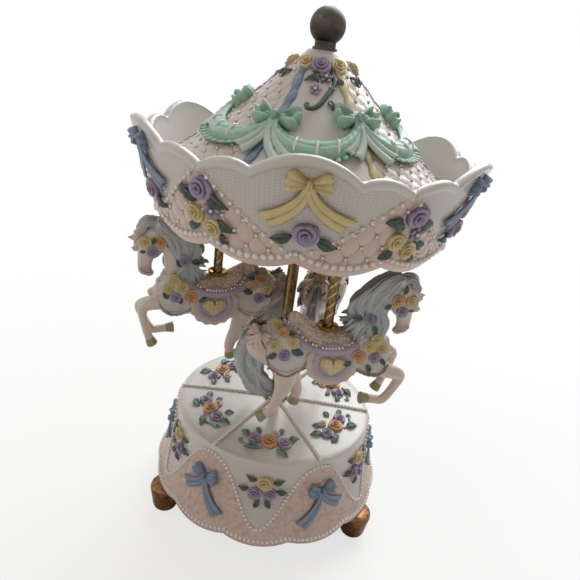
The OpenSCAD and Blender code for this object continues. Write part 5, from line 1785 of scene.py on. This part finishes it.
class BuildHorses(Builder):
    """Three leaping horses with manes, caparisons, saddles and roses"""
    bl_idname = "carousel.build_horses"
    bl_label = "Horses"

    def build(self):
        rose, leaf, pearl = make_rose(), make_leaf(), make_pearl()
        horse = model_horse()
        cloth = model_caparison(horse)
        saddle, trims, peach, hair = model_saddle(), model_trims(cloth), model_peach(cloth), model_hair()
        skin = skin_of(horse, cloth, saddle, trims, peach, hair)
        roses = {}
        for key, places in HORSE_ROSES.items():
            pattern = leaf if key == "leaf" else rose
            roses[key] = copies("roses", pattern, placed(pattern, side_spots(skin, places)))
        hem_line = [(x, saddle_low(x), 0.66, 0, 9.0) for x in np.arange(-18.0, 12.0, 1.5)]
        beads = side_spots(skin_of(cloth, saddle, trims), hem_line, 0.0)
        bead_row = copies("beads", pearl, placed(pearl, [m @ Matrix.Translation((0, 0, 0.5)) for m in beads]))
        bow = make_bow(5.2, 38.0, [(3.4, 6.0, 4.0), (4.6, 6.0, 4.0)], depth=2.2, wall=0.6)
        bow_spots = []
        for side in (-1, 1):
            out = Vector((-0.35, 0.88 * side, 0.32)).normalized()
            right = Vector((0, 0, 1)).cross(out).normalized()
            turn = Matrix((right, out.cross(right), out)).transposed().to_4x4()
            spot = Matrix.Translation((-30.4, 4.7 * side, -1.4)) @ turn
            bow_spots.append(spot @ Matrix.Rotation(0.4 * side, 4, "Z"))
        bows = copies("bows", bow, placed(bow, bow_spots))
        eyes = [ball((36.4, 3.15 * side, 12.3), 1.15, (1.15, 0.55, 0.85)) for side in (-1, 1)]
        dish = lathe("dish", [(POLE_R, -0.4), (3.4, -0.5), (4.6, 0.9), (4.9, 2.0), (4.55, 2.2), (4.0, 1.3),
                              (POLE_R, 0.9)], 40)
        models = (("glazed_horse", horse, "porcelain", "horse_glaze", ("horse",)),
                  ("hooves", model_hooves(), "hoof", "horse_glaze", ()),
                  ("hair", hair, "mane", "horse_glaze", ()),
                  ("forelock", model_forelock(), "porcelain", "horse_glaze", ()),
                  ("caparison", cloth, "cloth", "horse_glaze", ()),
                  ("saddle", saddle, "brocade", "peach", ()),
                  ("lilac_trims", trims, "lilac_pale", "lilac", ()),
                  ("peach_trims", peach, "bisque", "peach", ()),
                  ("hearts", model_heart(), "yellow", "yellow", ()),
                  ("saddle_pearls", bead_row, "pearl", "white_glaze", ()),
                  ("bows", bows, "blush", "pink_bisque", ()),
                  ("eyes", smooth(join("eyes", eyes)), "eye", "horse_glaze", ()),
                  ("dish", smooth(dish, 40), "gilt", "brass", ("cup",)),
                  ("roses_yellow", roses["yellow"], "yellow", "yellow", ()),
                  ("roses_peach", roses["peach"], "peach", "peach", ()),
                  ("roses_lilac", roses["lilac"], "lilac", "lilac", ()),
                  ("leaves", roses["leaf"], "leaf", "mint", ()))
        for rider, angle, heading in RIDERS:
            saddle_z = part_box(rider + "_pole")[0][2] / MM + SINK
            for part, model, glaze_name, slot_name, nodes in models:
                mesh = model.data.copy()
                obj = bpy.data.objects.new(rider + "_" + part, mesh)
                mesh.name = obj.name
                bpy.context.scene.collection.objects.link(obj)
                move_points(obj, world_points(points(model), angle, heading, saddle_z))
                finish_piece(obj, paint_box(glaze_name), rider + "_rider",
                             [rider + "_" + key for key in nodes])
        discard(rose, leaf, pearl, bow, *[model for _, model, *_ in models])


class BuildPoles(Builder):
    """Brass poles with a fine twist"""
    bl_idname = "carousel.build_poles"
    bl_label = "Poles"

    def build(self):
        for rider, angle, _ in RIDERS:
            low, high = (c[2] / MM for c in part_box(rider + "_pole"))
            a = math.radians(angle)
            at = np.array([POLE_AT * math.cos(a), POLE_AT * math.sin(a), 0])

            def stem(u, v, low=low, high=high, at=at):
                z = low + (high - low) * v
                turn = 2 * np.pi * u
                plain = ramp(z, high - 24, high - 22)
                groove = np.maximum(0, np.cos(3 * (turn - 2 * np.pi * (z - low) / 15.0))) ** 10
                r = POLE_R - 0.02 - 0.28 * groove * (1 - plain)
                # tint dips in the grooves, where the twisted brass gets its painted highlight
                return xyz(r * np.cos(turn), r * np.sin(turn), z) + at, 1 - groove * (1 - plain)
            pole = sheet("pole", 48, 140, stem, loop=True)
            edit_all(pole, lambda: bpy.ops.mesh.select_mode(type="EDGE"),
                     lambda: bpy.ops.mesh.select_all(action="DESELECT"),
                     lambda: bpy.ops.mesh.select_non_manifold(),
                     lambda: bpy.ops.mesh.edge_face_add(),
                     lambda: bpy.ops.mesh.select_mode(type="VERT"))
            face_out(pole)
            pole.name = pole.data.name = rider + "_twisted_pole"
            smooth(pole, 35)
            finish_piece(pole, paint_box("twist"), rider + "_rider", [rider + "_pole"])


# ---------- metal, plastic and board that the frame carries ----------

FRAME_FINISHES = {
    "brass": ("post_collar", "centre_tube", "tube_nut", "winding_key", "pinned_cylinder", "cylinder_arbor",
              "idler_wheel", "governor_fan", "spring_barrel", "canopy_hub", "pole_bushes"),
    "steel": ("cover_screws", "foot_screws", "bedplate", "bedplate_screws", "comb", "comb_screws",
              "winding_arbor", "drive_shaft", "floor_screws", "guide_posts",
              "front_clip", "left_clip", "rear_clip"),
    "spring": ("mainspring",),
    "plastic": ("cam_disc", "centre_bush", "cone_ring", "front_lifter", "left_lifter", "rear_lifter"),
    "board": ("base_cover", "canopy_floor"),
    "pewter": ("finial",),
}


class FinishFrame(Builder):
    """Brass, steel, plastic and board for the pieces that keep their frame shape"""
    bl_idname = "carousel.finish_frame"
    bl_label = "Metal and board"

    def build(self):
        for name, nodes in FRAME_FINISHES.items():
            for key in nodes:
                for part_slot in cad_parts[key].material_slots:
                    part_slot.material = paint_box(name)


# ---------- stage ----------

class BuildStage(Builder):
    """Pale floor, soft lamps and the camera"""
    bl_idname = "carousel.build_stage"
    bl_label = "Stage"

    def build(self):
        scene = bpy.context.scene
        scene.view_settings.view_transform = "Standard"
        floor = primitive("floor", "plane", size=6, location=(0, 0, 0))
        g = Finish("pale_floor")
        g.put(g.shader.inputs["Base Color"], (0.9, 0.9, 0.9, 1))
        g.put(g.shader.inputs["Roughness"], 0.9)
        seen = g.node("LightPath").outputs["Is Camera Ray"]
        away = g.node("VectorMath", {"operation": "LENGTH"}, i0=g.place()).outputs["Value"]
        share = g.times(seen, g.stretch(away, 0.12, 0.42, 0.72, 1.0))
        glow = g.node("Emission", Color=(1, 1, 1, 1), Strength=1.0).outputs[0]
        g.blend(share, g.shader.outputs[0], glow, g.tree.nodes["Material Output"])
        floor.data.materials.append(g.mat)
        self.add_light(scene)
        self.add_camera(scene)

    def add_light(self, scene):
        """A world that is white in sight and in reflections, and a dim warm light, with three lamps."""
        scene.world = bpy.data.worlds.new("studio")
        scene.world.use_nodes = True
        g = Graph(scene.world.node_tree)
        ground = g.tree.nodes["Background"]
        g.put(ground.inputs[0], (1.0, 0.90, 0.81, 1))
        g.put(ground.inputs[1], 0.30)
        white = g.node("Background", Color=(1, 1, 1, 1), Strength=1.0).outputs[0]
        path = g.node("LightPath").outputs
        either = g.most(path["Is Camera Ray"], g.most(path["Is Glossy Ray"], path["Is Transmission Ray"]))
        g.blend(either, ground.outputs[0], white, g.tree.nodes["World Output"])
        cool, warm = (0.94, 0.99, 1.0), (1.0, 0.94, 0.87)
        for name, place, size, power, tone in (("back_window", (0.25, 0.75, 0.95), 0.9, 13.0, cool),
                                               ("left_softbox", (-0.9, -0.35, 0.75), 0.7, 2.0, warm),
                                               ("front_fill", (0.5, -1.1, 0.5), 0.8, 0.45, warm)):
            lamp = bpy.data.lights.new(name, "AREA")
            lamp.size, lamp.energy, lamp.color = size, power, tone
            holder = bpy.data.objects.new(name, lamp)
            scene.collection.objects.link(holder)
            holder.location = place
            holder.rotation_euler = (Vector((0, 0, 0.13)) - Vector(place)).to_track_quat("-Z", "Y").to_euler()

    def add_camera(self, scene):
        """The camera looks down by CAMERA_TIP, is turned about its view by roll, and aims at target."""
        roll, distance = 0.141, 266.755
        target = Vector((-0.175, 0.0, 122.953))
        back = Vector((0, -math.cos(CAMERA_TIP), math.sin(CAMERA_TIP)))
        right = Vector((1, 0, 0))
        up = right.cross(-back)
        turned = math.cos(roll) * right + math.sin(roll) * up
        upright = -math.sin(roll) * right + math.cos(roll) * up
        data = bpy.data.cameras.new("camera")
        data.sensor_width = 36.0
        data.lens = setting("lens")
        data.clip_start = 0.01
        camera = bpy.data.objects.new("camera", data)
        scene.collection.objects.link(camera)
        turn = Matrix((turned, upright, back)).transposed().to_4x4()
        camera.matrix_world = Matrix.Translation((target + back * distance) * MM) @ turn
        scene.camera = camera


BUILDERS = (BuildBase, BuildBaseFlowers, BuildCrown, BuildCrownFlowers, BuildCone, BuildSwags,
            BuildConeFlowers, BuildPoles, BuildHorses, FinishFrame, BuildStage)


class CarouselPanel(bpy.types.Panel):
    """Settings and builders of the carousel"""
    bl_idname = "VIEW3D_PT_carousel"
    bl_label = "Carousel Music Box"
    bl_space_type = "VIEW_3D"
    bl_region_type = "UI"
    bl_category = "Carousel"

    def draw(self, context):
        layout = self.layout
        for group in (context.scene.carousel_sizes, context.scene.carousel_colours):
            box = layout.box()
            for key in group.bl_rna.properties.keys():
                if key not in ("rna_type", "name"):
                    box.prop(group, key)
        for builder in BUILDERS:
            layout.operator(builder.bl_idname)


CLASSES = (CarouselColours, CarouselSizes, *BUILDERS, CarouselPanel)


def register():
    for cls in CLASSES:
        bpy.utils.register_class(cls)
    bpy.types.Scene.carousel_colours = PointerProperty(type=CarouselColours)
    bpy.types.Scene.carousel_sizes = PointerProperty(type=CarouselSizes)


def unregister():
    del bpy.types.Scene.carousel_sizes
    del bpy.types.Scene.carousel_colours
    for cls in reversed(CLASSES):
        bpy.utils.unregister_class(cls)


def main():
    """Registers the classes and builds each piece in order."""
    register()
    for builder in BUILDERS:
        group, name = builder.bl_idname.split(".")
        if getattr(getattr(bpy.ops, group), name)() != {"FINISHED"}:
            raise RuntimeError("could not build " + builder.bl_label)


if __name__ == "__main__":
    main()
